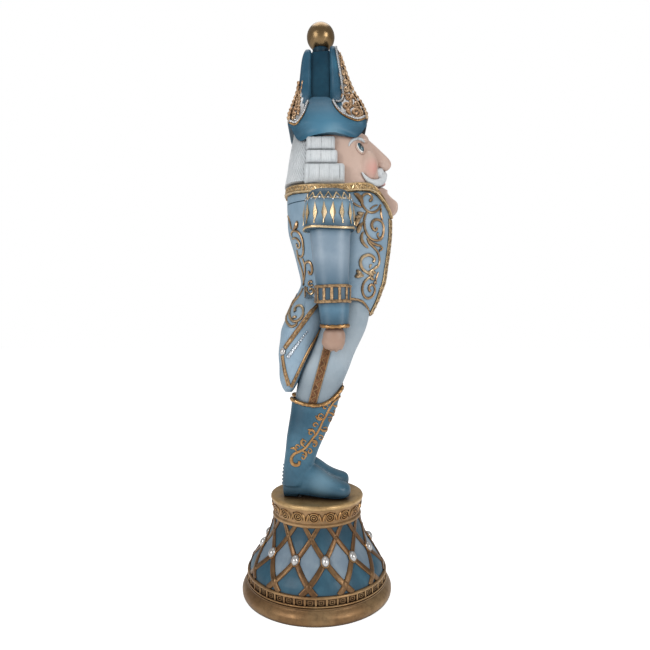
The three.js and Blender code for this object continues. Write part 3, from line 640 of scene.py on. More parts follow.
def dentil_band():
    """Two rims, a recessed floor, dividers, and a small square frame and a bead in each window."""
    rims = Bag()
    rims.put(*revolve(rounded([(170, 40.4), (186.5, 40.4), (186.5, 44.2), (170, 44.2)], 1.6)))
    rims.put(*revolve(rounded([(170, 58.6), (184.5, 58.6), (184.8, 62.6), (182.5, 64.6), (170, 64.6)], 1.6)))
    rims.put(*revolve(rounded([(160, 44), (180.8, 44), (180.2, 59), (160, 59)], 1.0)))
    for k in range(WINDOWS):
        a = 2 * math.pi * k / WINDOWS
        out = np.array([math.cos(a), math.sin(a), 0])
        path = curve([out * 181.5 + [0, 0, z] for z in (43.5, 51, 59.5)], 4)
        rims.put(*sweep(path, out, 3.1, 3.2, sides=8))
        b = a + math.pi / WINDOWS
        out, round_way = np.array([math.cos(b), math.sin(b), 0]), np.array([-math.sin(b), math.cos(b), 0])
        centre = out * 181.0 + [0, 0, 51.4]
        square = [centre + round_way * x * 5.2 + np.array([0, 0, z * 4.6])
                  for x, z in [(-1, -1), (0, -1.02), (1, -1), (1.02, 0), (1, 1), (0, 1.02), (-1, 1),
                               (-1.02, 0)]]
        rims.put(*sweep(square, out, 1.5, 1.9, sides=6, closed=True))
        rims.put(*dome(centre, out, (0, 0, 1), 2.3, 2.3, 2.4, rings=4, sides=8))
    rims.make("dentil_band", "gold_dark", replaces=["base_dentil_band"])


def lattice():
    """Flat-topped straps, with a small boss where two meet at the foot and at the top."""
    straps, bosses = Bag(), Bag()
    heights = np.linspace(63, 205, 56)
    for k in range(PEARLS):
        for lean, lift in ((1, 0.0), (-1, 0.35)):
            spin = lean * (heights - PEARL_Z) / STRAP_RISE * math.pi / PEARLS
            a = PHASE + k * 2 * math.pi / PEARLS + spin
            r = bell_r(heights)
            path = columns(r * np.cos(a), r * np.sin(a), heights)
            slope = np.arctan2(-np.gradient(r, heights), 1.0)
            normal = columns(np.cos(a) * np.cos(slope), np.sin(a) * np.cos(slope), np.sin(slope))
            half = 7.4 - 2.0 * (heights - 63) / 142
            side = beside(path, normal)
            rows = [path + side * (half * u)[:, None] + normal * (h + lift) for u, h in STRAP_SECTION]
            straps.put(*loft(np.array(rows).transpose(1, 0, 2)))
        for height, turn, size in ((PEARL_Z - STRAP_RISE, 0.5, 7.5), (PEARL_Z + STRAP_RISE, 0.5, 4.6)):
            a = PHASE + (k + turn) * 2 * math.pi / PEARLS
            out = np.array([math.cos(a), math.sin(a), 0.35])
            spot = np.array([bell_r(height)[0] * math.cos(a), bell_r(height)[0] * math.sin(a), height])
            bosses.put(*dome(spot + out * 2.2, out, (0, 0, 1), size * 1.25, size, 2.6, sink=0.2))
    straps.put(bosses.verts, bosses.faces)
    straps.make("lattice_straps", "strap", replaces=["base_lattice"], angle=50)


def pearls():
    """The bell's pearls, each in a thin gold cup."""
    cups = Bag()
    slope = math.atan2(float(bell_r(PEARL_Z - 8)[0] - bell_r(PEARL_Z + 8)[0]), 16)
    for k in range(PEARLS):
        a = PHASE + k * 2 * math.pi / PEARLS
        out = np.array([math.cos(a) * math.cos(slope), math.sin(a) * math.cos(slope), math.sin(slope)])
        up = np.array([-math.cos(a) * math.sin(slope), -math.sin(a) * math.sin(slope), math.cos(slope)])
        r = bell_r(PEARL_Z)[0]
        spot = np.array([r * math.cos(a), r * math.sin(a), PEARL_Z]) + out * 4.5
        verts, faces = dome(spot, out, up, 12.8, 9.6, 9.5, rings=12, sides=28, sink=0.2)
        make(f"pearl_{k + 1:02d}", verts, faces, "pearl", replaces=[f"base_pearl_{k + 1:02d}"])
        ring = hoop(spot - out * 1.6, up * 13.4, np.cross(out, up) * 10.2, 28)
        cups.put(*sweep(ring, out, 1.5, 2.6, sides=8, closed=True))
    cups.make("pearl_cups", "gold")


ROSETTES, ROSETTE_R, ROSETTE_Z = 18, 115.6, 227.5


def rosette_band():
    """The band of rosettes and the moulding under it."""
    band = [(95, 200), (114, 200.4), (117, 202), (118.2, 204.6), (117.6, 207.4), (115.4, 209.2),
            (113.6, 210.6), (113.2, 213), (114, 217), (116.2, 228), (117.8, 236), (119.2, 241),
            (120.5, 243.5), (120.5, 246), (95, 246)]
    make("rosette_band", *revolve(band, 192), "recess_gold", replaces=["base_top_band"])
    reliefs = Bag()
    for k in range(ROSETTES):
        a = 2 * math.pi * (k + 0.35) / ROSETTES
        out = unit(np.array([math.cos(a), math.sin(a), -0.22]))
        round_way = np.array([-math.sin(a), math.cos(a), 0])
        up = np.cross(out, round_way)
        spot = np.array([ROSETTE_R * math.cos(a), ROSETTE_R * math.sin(a), ROSETTE_Z])
        for radius, half, height in ((11.6, 2.0, 3.6), (6.6, 1.8, 3.4)):
            reliefs.put(*sweep(hoop(spot, up * radius, round_way * radius, 24), out, half, height, sides=6,
                               closed=True))
        reliefs.put(*dome(spot, out, up, 3.8, 3.8, 5.0, rings=5, sides=12))
        for side in (-1, 1):
            petal = [spot + round_way * side * (12.5 + 6.5 * t) + up * (9.5 - 19 * t)
                     for t in np.linspace(0, 1, 8)]
            reliefs.put(*sweep(petal, out, 1.7 + 1.9 * np.sin(np.linspace(0, math.pi, 8)), 3.0, sides=6))
    reliefs.make("band_rosettes", "gold")


def standing_plate():
    low = plate_low.z / MM
    top = [(60, low), (117, low), (121, low + 0.8), (122.6, low + 2.6), (PLATE_R, low + 5),
           (PLATE_R, PLATE_TOP - 4.4), (PLATE_R - 1.2, PLATE_TOP - 2), (PLATE_R - 4, PLATE_TOP - 0.4),
           (PLATE_R - 8, PLATE_TOP), (60, PLATE_TOP), (20, PLATE_TOP), (1.0, PLATE_TOP), (1.0, low)]
    make("standing_plate", *revolve(top, 192), "plate", replaces=["base_top_plate"])


def bell_paint():
    """The bell's panels: the row of tall diamonds is pale, the rows above and below are deeper, with painted
    shade beside the straps.
    """
    mat, tree, shader = new_material("bell_panels")
    xyz = node(tree, "ShaderNodeSeparateXYZ", {0: node(tree, "ShaderNodeTexCoord").outputs["Object"]})

    def math_node(kind, a, b=0.0):
        return node(tree, "ShaderNodeMath", {0: a, 1: b}, operation=kind).outputs[0]

    angle = math_node("ARCTAN2", xyz.outputs[1], xyz.outputs[0])
    share = math_node("DIVIDE", math_node("SUBTRACT", angle, PHASE), 2 * math.pi / PEARLS)
    rise = math_node("DIVIDE", math_node("SUBTRACT", xyz.outputs[2], PEARL_Z * MM), 2 * STRAP_RISE * MM)
    row = math_node("SUBTRACT", math_node("FLOOR", math_node("ADD", share, rise)),
                    math_node("FLOOR", math_node("SUBTRACT", share, rise)))
    pale_row = math_node("SUBTRACT", 1.0, math_node("MINIMUM", math_node("ABSOLUTE", row), 1.0))
    streaks = ramp(tree, noise(tree, 26, 5, 0.6, (1, 1, 0.35)), 0.35, 0.7)
    deep = mix(tree, streaks, (0.020, 0.074, 0.116), (0.044, 0.122, 0.176))
    pale = mix(tree, streaks, (0.165, 0.225, 0.285), (0.235, 0.300, 0.355))
    upper = node(tree, "ShaderNodeMapRange", {0: xyz.outputs[2], 1: (PEARL_Z + 15) * MM,
                                              2: (PEARL_Z + 60) * MM, 3: 0.0, 4: 0.75}).outputs[0]
    deep = mix(tree, upper, deep, (0.008, 0.040, 0.066))
    colour = mix(tree, pale_row, deep, pale)
    # Painted shade: a dark blue where ambient occlusion finds the recesses beside the straps.
    painted_shade = ramp(tree, occlusion(tree, 0.014), 0.35, 0.97)
    colour = mix(tree, painted_shade, (0.030, 0.058, 0.082), colour)
    tree.links.new(colour, shader.inputs["Base Color"])
    shader.inputs["Roughness"].default_value = 0.44
    shader.inputs["Specular IOR Level"].default_value = 0.3
    shader.inputs["Coat Weight"].default_value = 0.06
    bump = node(tree, "ShaderNodeBump", {"Strength": 0.15, "Distance": 0.001, "Height": noise(tree, 240, 5)})
    tree.links.new(bump.outputs[0], shader.inputs["Normal"])
    return mat


foot_moulding()
bell_shell()
dentil_band()
lattice()
pearls()
rosette_band()
standing_plate()


# ---------------------------------------------------------------- outlines of the figure
# Rows are [Z, back X, front X, half width].
TORSO = [[725, -84, 143, 99], [767, -65, 164, 97], [795, -50, 175, 93], [816, -43, 183, 91],
         [860, -52, 189, 97], [903, -63, 195, 101], [950, -76, 199, 103], [1000, -79, 196, 103],
         [1040, -80, 176, 99], [1072, -78, 150, 92]]
LEG = [[495, -58, 54, 32], [540, -52, 63, 33], [593, -42, 84, 38], [635, -24, 100, 41], [697, 0, 128, 42],
       [745, 8, 138, 42], [787, 10, 138, 40]]
SHAFT = [[290, -90, -26, 25], [300, -89, -20, 27], [342, -86, -8, 29], [384, -81, 6, 31], [415, -78, 20, 33],
         [447, -73, 34, 35], [478, -68, 47, 36], [535, -62, 66, 36]]
TAIL = [[527, -86, -68, 8], [540, -93, -60, 19], [567, -100, -48, 29], [600, -101, -34, 37],
        [632, -103, -18, 42], [665, -99, -4, 45], [697, -95, 9, 46], [730, -84, 16, 46], [766, -66, 12, 46]]
SLEEVE = [[799.8, 0, 80, 31], [860, -8, 81, 33], [918, -14, 83, 34], [934.4, -16, 84, 34]]
EPAULETTE = [[934, -30, 92, 43], [945, -29.5, 91.5, 42.5], [960, -29, 91, 42], [1000, -27, 89, 40],
             [1016, -23, 84, 36], [1028, -15, 76, 29], [1034, -4, 64, 19]]
HEAD = [[1040, -50, 150, 78], [1062, -51, 160, 80], [1085, -52, 168, 81], [1110, -52, 166, 80],
        [1140, -52, 158, 79], [1170, -51, 149, 76], [1204, -48, 137, 70]]
HAIR = [[1070, -84, 44, 82], [1100, -78, 35, 80], [1135, -73, 28, 77], [1170, -67, 21, 70],
        [1202, -61, 16, 59], [1213, -60, 14, 55]]
# Rows are [degrees from the front, Z].
NECKLINE = [[0, 978], [18, 982], [26, 1004], [36, 1036], [50, 1044], [90, 1036], [140, 1041], [180, 1044]]
HEM = [[0, 745], [19, 728], [40, 746], [60, 764], [90, 768], [180, 768]]
LEG_Y, ARM_Y, TAIL_Y, NECK_HALF = 43.5, 138.0, 48.0, 31.0
SIDES = (("left", 1), ("right", -1))


def both_sides(name, parts, mat, replaces=None, **more):
    """A piece made for +Y and its mirror image."""
    verts, faces = parts
    for word, side in SIDES:
        v = np.asarray(verts, float) * (1, side, 1)
        f = faces if side > 0 else [tuple(reversed(p)) for p in faces]
        make(f"{name}_{word}", v, f, mat, replaces=[f"{replaces}_{word}"] if replaces else (), **more)


def ring_on(outline, z, y, grow=0.0, count=72, power=2.2, tilt=None):
    """A closed path round a body, with outward normals; tilt gives each angle its own height."""
    angle = around(count)
    heights = z + (tilt(angle) if tilt else np.zeros(count))
    rows = at(outline, heights)
    cx, a = (rows[:, 0] + rows[:, 1]) / 2, (rows[:, 1] - rows[:, 0]) / 2 + grow
    c, s = np.cos(angle), np.sin(angle)
    x = cx + a * squared(c, 2 / power)
    yy = y + (rows[:, 2] + grow) * squared(s, 2 / power)
    path = columns(x, yy, heights)
    normal = columns(x - cx, yy - y, np.zeros(count))
    return path, unit(normal)


# Side relief is laid out on a plane beside the figure, and cast on to it along the sight lines from EYE.
EYE = np.array([21.5, 1438.0, 705.0])
PLANE_Y = 87.0


def strokes(bvh, lines, direction=None, lift=0.3, rise=0.75, step=1.5):
    """Raised strokes drawn on a surface. Each line is a list of (x, y, z, half width)."""
    bag = Bag()
    for line in lines:
        line = np.asarray(line, float)
        path = curve(line, step)
        hits, normals, halves = [], [], []
        for p in path:
            towards = p[:3] - EYE if direction is None else direction
            h, n = onto(bvh, [p[:3]], towards, lift=lift)
            if len(h):
                hits.append(h[0])
                normals.append(n[0])
                halves.append(p[3])
        if len(hits) < 4:
            continue
        halves = np.array(halves)
        bag.put(*sweep(hits, settled(normals), halves, np.maximum(0.9, halves * rise), sides=8))
    return bag


def seen_on(bvh, points, lift=0.0):
    """Points of the side plane carried on to a surface along the line of sight."""
    hits, normals = [], []
    for p in points:
        h, n = onto(bvh, [p], np.asarray(p, float) - EYE, lift=lift)
        if len(h):
            hits.append(h[0])
            normals.append(n[0])
    return np.array(hits), np.array(normals)


def spiral(x, z, radius, start, turns):
    """A scroll in the XZ plane from its outer end inwards, ending in a bud."""
    n = max(8, int(abs(turns) * 14))
    t = np.linspace(0, 1, n)
    a = math.radians(start) + t * turns * 2 * math.pi
    r = radius * (0.75 * (1 - t) ** 0.75 + 0.25)
    w = 1.5 + 0.7 * np.sin(t * math.pi) + (t > 0.93)
    return columns(x + r * np.cos(a), PLANE_Y, z + r * np.sin(a), w).tolist()


def leaf(x0, z0, x1, z1, half, bend):
    """A teardrop from its stem at the first point to its rounded tip."""
    t = np.linspace(0, 1, 9)
    dx, dz = x1 - x0, z1 - z0
    bow = bend * np.sin(t * math.pi)
    belly = np.sin(np.clip(t * 1.12, 0, 1) * math.pi * 0.78) ** 1.2
    w = half * (0.25 + 0.85 * belly) * np.where(t > 0.97, 0.5, 1)
    return columns(x0 + dx * t - dz * bow, PLANE_Y, z0 + dz * t + dx * bow, w).tolist()


# ---------------------------------------------------------------- boots and legs
def foot_form():
    """The foot, made along its own axis and then turned a little outwards."""
    rows = [[-88, 6, 275, 320], [-86, 16, 258, 332], [-80, 22, 257, 344], [-65, 25, 257, 348],
            [-48, 26.5, 257, 350], [-25, 28, 257, 349], [-5, 29.5, 257, 341], [12, 31, 257, 330],
            [28, 32, 257, 318], [45, 32, 257, 307.5], [60, 30.5, 257, 301], [72, 27, 258.5, 297],
            [81, 21, 261.5, 293.5], [87, 12, 266, 288], [89, 4, 271, 282]]
    x = np.linspace(-88, 89, 70)
    vals = at(rows, x)
    turn = around(48)
    rings = []
    for xi, (half, low, high) in zip(x, vals):
        c, s = np.cos(turn), np.sin(turn)
        across = half * squared(c, 0.78)
        up = (low + high) / 2 + (high - low) / 2 * squared(s, 0.8)
        rings.append(columns(xi, across, up))
    verts, faces = loft(rings)
    a = math.radians(7)
    v = verts + (85, 0, 0)
    v = columns(v[:, 0] * math.cos(a) - v[:, 1] * math.sin(a), v[:, 0] * math.sin(a) + v[:, 1] * math.cos(a),
                v[:, 2])
    return v + (-85, 33, 0), faces


def shaft_top(angle):
    """Height of the boot's rim: a tall peak in front and a low one behind."""
    c = np.cos(angle)
    return 500 + 44 * np.clip(c, 0, 1) ** 2.6 + 13 * np.clip(-c, 0, 1) ** 1.5


# The boot's vine from the front peak down and back towards the heel: (X, Z, half width) of its stem,
# (X, Z, radius, start, turns) of its tendrils, (X, Z, dX, dZ, half width, bend) of its leaves.
VINE_STEM = [(65, 541, 4.0), (63, 530, 4.0), (53, 519, 3.6), (43, 510, 3.2), (33, 494, 3.0), (25, 478, 3.0),
             (15, 460, 3.0), (8, 444, 3.0), (0, 430, 3.2), (-10, 418, 3.2), (-20, 405, 3.4), (-30, 393, 3.4),
             (-44, 385, 3.6), (-56, 379, 3.8), (-63, 369, 4.2), (-62, 357, 4.6), (-54, 351, 4.8),
             (-45, 353, 4.6), (-43, 361, 3.6)]
VINE_TENDRILS = ((58, 500, 8, 140, -0.9), (46, 482, 7, 120, -0.9), (34, 466, 7.5, 140, -1.0),
                 (22, 440, 7.5, 140, -0.9), (10, 420, 7, 130, -1.0), (-6, 402, 6.5, 130, -0.9),
                 (-18, 386, 7, 110, -1.0), (-34, 371, 7, 110, -0.9), (22, 497, 7, 10, 0.9),
                 (10, 474, 7.5, 0, 1.0), (-3, 452, 7, 0, 0.9), (-14, 432, 7, 10, 0.9),
                 (-34, 408, 7.5, 10, 1.0), (-48, 397, 6, 0, 0.9))
VINE_LEAVES = ((40, 503, 20, 6, 3.4, -.3), (28, 484, 16, -20, 3.0, .3), (20, 470, -22, 6, 3.0, .3),
               (8, 446, 20, -4, 3.0, -.3), (-4, 426, -18, 14, 3.0, -.3), (-16, 411, 18, -8, 3.0, .3),
               (-28, 396, -6, 22, 3.0, .3), (-40, 387, 14, -16, 3.0, .3), (56, 522, -16, 2, 3.2, -.3),
               (62, 512, 0, -22, 3.2, .2), (-50, 383, -16, 10, 2.8, -.3))
# The flat of the sole, the welt over it, and a distance well outside the figure's side.
SOLE_Z = 257.6
WELT_Z = 262.5
BESIDE = 200.0


def boots():
    """Each boot: shaft and foot in one skin, then its welt with a painted shadow line, studs, rim and vine.
    """
    angle = around(64)
    rings = []
    for share in np.linspace(0, 1, 50):
        heights = SHAFT[0][0] + (shaft_top(angle) - SHAFT[0][0]) * share
        rows = at(SHAFT, heights)
        cx, a = (rows[:, 0] + rows[:, 1]) / 2, (rows[:, 1] - rows[:, 0]) / 2
        c, s = np.cos(angle), np.sin(angle)
        rings.append(columns(cx + a * squared(c, 0.91), LEG_Y + rows[:, 2] * squared(s, 0.91), heights))
    verts, faces = remeshed([loft(rings), foot_form()], 2.2, 7)
    arch = 9.5 * np.clip((verts[:, 0] + 51) / 3.5, 0, 1) * np.clip((14 - verts[:, 0]) / 60, 0, 1) ** 0.8
    verts[:, 2] = np.maximum(verts[:, 2], SOLE_Z + arch)
    both_sides("boot", (verts, faces), "boot", "boot", angle=60)
    bvh = tree_of((verts, faces))

    # The sole's welt, a raised ridge painted dark navy as a painted shadow line along the sole, and the row
    # of small studs up the back seam.
    welt_line = [(-84, 6, 1.6), (-60, 6.5, 1.7), (-44, 8, 1.7), (-30, 7, 1.7), (-10, 4, 1.8), (8, 1.5, 2.0),
                 (30, 0, 2.0), (60, 0.5, 1.9), (82, 5, 1.4)]
    welt_and_shadow = strokes(bvh, [[(x, BESIDE, WELT_Z + z, half) for x, z, half in welt_line]], (0, -1, 0), rise=0.7)
    welt_and_shadow.both("boot_welt_and_shadow", "navy")
    studs = Bag()
    for i in range(6):
        z = 292 + i * 9.5
        hit, n = onto(bvh, [(-300, LEG_Y - 5, z)], (1, 0, 0), start=200)
        if len(hit):
            studs.put(*dome(hit[0], n[0], (0, 0, 1), 3.6, 3.0, 2.6, rings=4, sides=10))
    studs.both("heel_studs", "boot")

    # Rolled rim with a leafy ridge that climbs to the peak.
    path, normal = ring_on(SHAFT, 0, LEG_Y, 1.0, 96, tilt=shaft_top)
    swell = 1 + 0.18 * np.sin(np.arange(96) * 2.1) + 0.1 * np.sin(np.arange(96) * 5.3)
    rim = Bag().put(*sweep(path, normal, 4.6 * swell, 4.6 * swell, sides=12, sink=1.0, closed=True))
    rim.put(*sweep(path - normal * 3 + [0, 0, 2.5], normal, 2.2, 3.0, sides=8, sink=1.0, closed=True))
    rim.both("boot_rim", "gold", "boot_trim")

    lines = [[(x, PLANE_Y, z, half) for x, z, half in VINE_STEM]]
    lines += [spiral(*tendril) for tendril in VINE_TENDRILS]
    lines += [leaf(x, z, x + dx, z + dz, half * 1.15, bend) for x, z, dx, dz, half, bend in VINE_LEAVES]
    vine = strokes(bvh, lines, rise=0.75)
    vine.both("boot_vine", "gold")


# The stripe's section, as (distance across, rise).
STRIPE_SECTION = ((-9.6, -1), (-9.6, 1.4), (-8.4, 2.2), (-5, 2.4), (0, 2.5), (5, 2.4), (8.4, 2.2), (9.6, 1.4),
                  (9.6, -1))


def legs():
    """Trouser legs, each with a textured stripe down its outer side."""
    rings = body_rings(LEG, LEG_Y, 96, step=5)
    verts, faces = loft(rings)
    both_sides("trouser", (verts, faces), "trouser", "leg")
    bvh = tree_of((verts, faces))
    centre = curve([(-12, 500, 0), (0, 545, 0), (14, 596, 0), (26, 642, 0), (36, 690, 0)], 3)
    hits, normals = onto(bvh, [(p[0], BESIDE, p[1]) for p in centre], (0, -1, 0), lift=-0.4)
    normals = settled(normals)
    side = beside(hits, normals)
    rows = [hits + side * u + normals * h for u, h in STRIPE_SECTION]
    both_sides("trouser_stripe", loft(np.array(rows).transpose(1, 0, 2)), "stripe", "leg_stripe")
    edges = Bag()
    for u in (-9.3, 9.3):
        edges.put(*sweep(hits + side * u + normals * 1.6, normals, 1.2, 1.5, sides=8))
    motif = [hits[i] + side[i] * (4.5 * math.sin(i * 0.9)) + normals[i] * 2.3 for i in range(len(hits))]
    edges.put(*sweep(motif, normals, 1.3, 1.3, sides=6))
    edges.both("stripe_edges", "gold_dark")


boots()
legs()


# ---------------------------------------------------------------- coat
LEVER_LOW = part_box("lever")[0].z / MM
LEVER_HALF = 20.0
COAT_POWER = 2.2


def coat_point(angle, z, grow=0.0):
    """Points of the coat's surface, moved outwards by grow."""
    rows = at(TORSO, z)
    x, y = section(angle, ((rows[:, 0] + rows[:, 1]) / 2, 0), (rows[:, 1] - rows[:, 0]) / 2 + grow,
                   rows[:, 2] + grow, COAT_POWER)
    return columns(x, y, z)


def outward(path):
    """Level directions away from the middle of the coat's front half."""
    return unit((path - (50, 0, 0)) * (1, 1, 0))


def fold(outline, angle):
    """A keyed edge of the coat at these angles; the keys are degrees from the front."""
    turn = np.degrees(np.abs((angle + math.pi) % (2 * math.pi) - math.pi))
    return at(outline, turn)[:, 0]


def coat_body():
    """The coat from one edge of its front opening round the back to the other, with a real thickness."""
    count, levels = 150, 60
    share = np.linspace(0, 1, count)
    outer, inner = [], []
    for level in np.linspace(0, 1, levels):
        edge = math.radians(19)
        angle = edge + (2 * math.pi - 2 * edge) * share
        z = fold(HEM, angle) + (fold(NECKLINE, angle) - fold(HEM, angle)) * level
        half = at(TORSO, z)[:, 2]
        first = np.arcsin((NECK_HALF / half) ** (COAT_POWER / 2))
        angle = first + (2 * math.pi - 2 * first) * share
        z = fold(HEM, angle) + (fold(NECKLINE, angle) - fold(HEM, angle)) * level
        outer.append(coat_point(angle, z))
        skin = coat_point(angle, z, -7.0)
        skin[0, 1] = outer[-1][0, 1]
        skin[-1, 1] = outer[-1][-1, 1]
        inner.append(skin)
    outer, inner = np.array(outer), np.array(inner)
    verts = np.concatenate([outer, inner[:, ::-1]], 1)
    verts = verts.reshape(-1, 3)
    faces = grid(levels, 2 * count)
    top = (levels - 1) * 2 * count
    for i in range(count - 1):
        j = 2 * count - 1 - i
        faces.append((i + 1, i, j, j - 1))
        faces.append((top + i, top + i + 1, top + j - 1, top + j))
    return verts, faces


def lever_panel():
    """The back lever: the strip of coat between the shoulders, and the link that joins it to the jaw."""
    low, high = LEVER_LOW + 0.6, 1033.0
    y = np.linspace(-LEVER_HALF, LEVER_HALF, 21)
    rings = []
    for z in np.linspace(low, high, 60):
        half = at(TORSO, z)[0, 2]
        angle = math.pi - np.arcsin(np.sign(y) * (np.abs(y) / half) ** (COAT_POWER / 2))
        outer = coat_point(angle, z)
        inner = coat_point(angle[::-1], z, -12.0)
        inner[:, 1] = y[::-1]
        rings.append(np.vstack([outer, inner]))
    panel = loft(np.array(rings))
    make("lever_panel", *panel, "coat", body="jaw", replaces=["lever"])
    link = [(-67, 1000), (-67, 1026), (-56, 1034), (-53, 1062), (-44, 1084), (-18, 1084.5), (-34, 1050),
            (-42, 985), (-67, 985)]
    path = rounded(link, 5, 5)
    rings = []
    for yy, grow in ((-11.5, 1.4), (-10.5, 0.4), (-9, 0), (9, 0), (10.5, 0.4), (11.5, 1.4)):
        centre = path.mean(0)
        shrunk = centre + (path - centre) * (1 - grow / 60)
        rings.append(columns(shrunk[:, 0], yy, shrunk[:, 1]))
    make("lever_link", *loft(np.array(rings)), "steel", body="jaw")


def collar():
    """Band round the neckline with a rolled rim above and below and small leaf motifs between."""
    angle = np.radians(np.linspace(17.5, 342.5, 260))
    z = fold(NECKLINE, angle)
    profile = ((-7, 0.5), (4.6, 0.5), (6.6, 1.6), (6.8, 3.8), (5.2, 5.2), (4.7, 7), (4.2, 12), (3.6, 15.5),
               (4.8, 17), (4.6, 19.6), (2.8, 21), (0, 21.4), (-7, 21.2))
    rings = []
    for grow, lift in profile:
        p = coat_point(angle, np.minimum(z, 1050), grow)
        rings.append(columns(p[:, 0] - lift * 0.25 * np.clip(np.cos(angle), 0, 1), p[:, 1], z + lift + 0.4))
    rings = np.array(rings).transpose(1, 0, 2)
    band = make("collar_band", *loft(rings), "collar", replaces=["collar"])
    cut_prism(band, box_outline(-130, -60, 1030, 1047.8), LEVER_HALF + 1)
    rims = Bag()
    for row, size in ((3, 1.9), (10, 1.7)):
        path = rings[:, row]
        out = outward(path)
        keep = np.abs(path[:, 1]) > LEVER_HALF + 3 if row == 3 else np.ones(len(path), bool)
        keep |= path[:, 0] > 0
        for part in np.split(np.arange(len(path)), np.where(np.diff(keep.astype(int)) != 0)[0] + 1):
            if keep[part[0]] and len(part) > 4:
                rims.put(*sweep(path[part], out[part], size, size, sides=8, sink=1.0))
    n = 62
    for k in range(n):
        i = int((k + 0.5) / n * 259)
        here, after = rings[i, 6], rings[min(i + 2, 259), 6]
        along = (after - here) / (np.linalg.norm(after - here) + 1e-9)
        out = here - np.array([50, 0, here[2]])
        out = unit(out)
        up = np.cross(out, along)
        mid = here * 0.5 + rings[i, 7] * 0.5
        mid[2] = here[2] - 1
        flip = 1 if k % 2 else -1
        leafy = [mid + along * (7.5 * (t - 0.5)) + up * (flip * 4.6 * math.sin((t - 0.5) * math.pi))
                 for t in np.linspace(0, 1, 9)]
        rims.put(*sweep(leafy, out, 0.7 + 1.5 * np.sin(np.linspace(0, math.pi, 9)), 1.6, sides=6))
        rims.put(*dome(mid + up * flip * 5.0 - along * 3, out, along, 1.6, 1.6, 1.6, rings=4, sides=8))
    rims.make("collar_relief", "bright_gold")


def plackets():
    """The frilled gold edges of the coat's front opening."""
    z = np.linspace(731, 981, 110)
    half = at(TORSO, z)[:, 2]
    frills, edge = Bag(), Bag()
    y = NECK_HALF + 9.0
    angle = np.arcsin((y / half) ** (COAT_POWER / 2))
    mid = coat_point(angle, z, 0.4)
    mid[:, 1] = y
    near, far = coat_point(angle - 0.06, z), coat_point(angle + 0.06, z)
    normal = np.cross(far - near, [0, 0, 1.0])
    normal = unit(normal)
    wave = 1 + 0.10 * np.sin(z * 0.55) + 0.08 * np.sin(z * 0.23 + 1)
    frills.put(*sweep(mid, normal, 8.6 * wave, 4.0 * wave, sides=16, sink=0.6))
    frills.both("placket", "gold_cloth", "placket")
    for share in (-1.0, 1.0):
        side = np.cross(normal, [0, 0, 1.0])
        edge.put(*sweep(mid + side * (8.4 * share) + normal * 0.8, normal, 1.9, 2.8, sides=8, sink=1.0))
    for k, knot_z in enumerate(np.arange(738, 978, 8.0)):
        i = int(np.argmin(np.abs(z - knot_z)))
        across = np.cross(normal[i], [0, 0, 1.0]) * (5.0 if k % 2 else -5.0)
        wavy = [mid[i] + normal[i] * 3.6 + across * math.sin(t * math.pi) + np.array([0, 0, 7.0 * t])
                for t in np.linspace(-0.5, 0.5, 8)]
        edge.put(*sweep(wavy, normal[i], 0.7 + 1.3 * np.sin(np.linspace(0, math.pi, 8)), 1.8, sides=6))
    edge.both("placket_edge", "bright_gold")


def yoke_seam():
    """The seam across the back of the shoulders."""
    angle = np.radians(np.linspace(98, 164, 60))
    path = coat_point(angle, np.full(60, 1022.5) - 2.0 * np.sin((angle - angle[0]) * 2.2), 0.2)
    both_sides("yoke_seam", sweep(path, outward(path), 1.0, 0.7, sides=8), "navy")


def hem():
    """Gold edge of the coat's skirt, from the front point round to the side."""
    angle = np.radians(np.linspace(20, 88, 70))
    z = fold(HEM, angle)
    path = coat_point(angle, z + 3.2)
    both_sides("hem_trim", sweep(path, outward(path), 3.4, 2.6, sides=10), "gold_cloth")


def waistcoat():
    """The strip of waistcoat in the opening, with its buttons."""
    z = np.linspace(743, 952, 60)
    y = np.linspace(-NECK_HALF + 0.8, NECK_HALF - 0.8, 25)
    front = at(TORSO, z)[:, 1]
    rings = []
    for k, zz in enumerate(z):
        bulge = front[k] - 14.5 - (y / NECK_HALF) ** 2 * 3
        rings.append(np.vstack([columns(bulge, y, zz), columns(front[k] - 21, y[::-1], zz)]))
    make("waistcoat_front", *loft(np.array(rings)), "sleeve", replaces=["waistcoat"])
    buttons = Bag()
    for zz in np.linspace(765, 930, 7):
        buttons.put(*dome(np.array([float(at(TORSO, zz)[0, 1]) - 14.6, 0, zz]), (1, 0, 0.1), (0, 0, 1), 5.2,
                          5.2, 4.0, rings=7, sides=20))
    buttons.make("waistcoat_buttons", "gold")


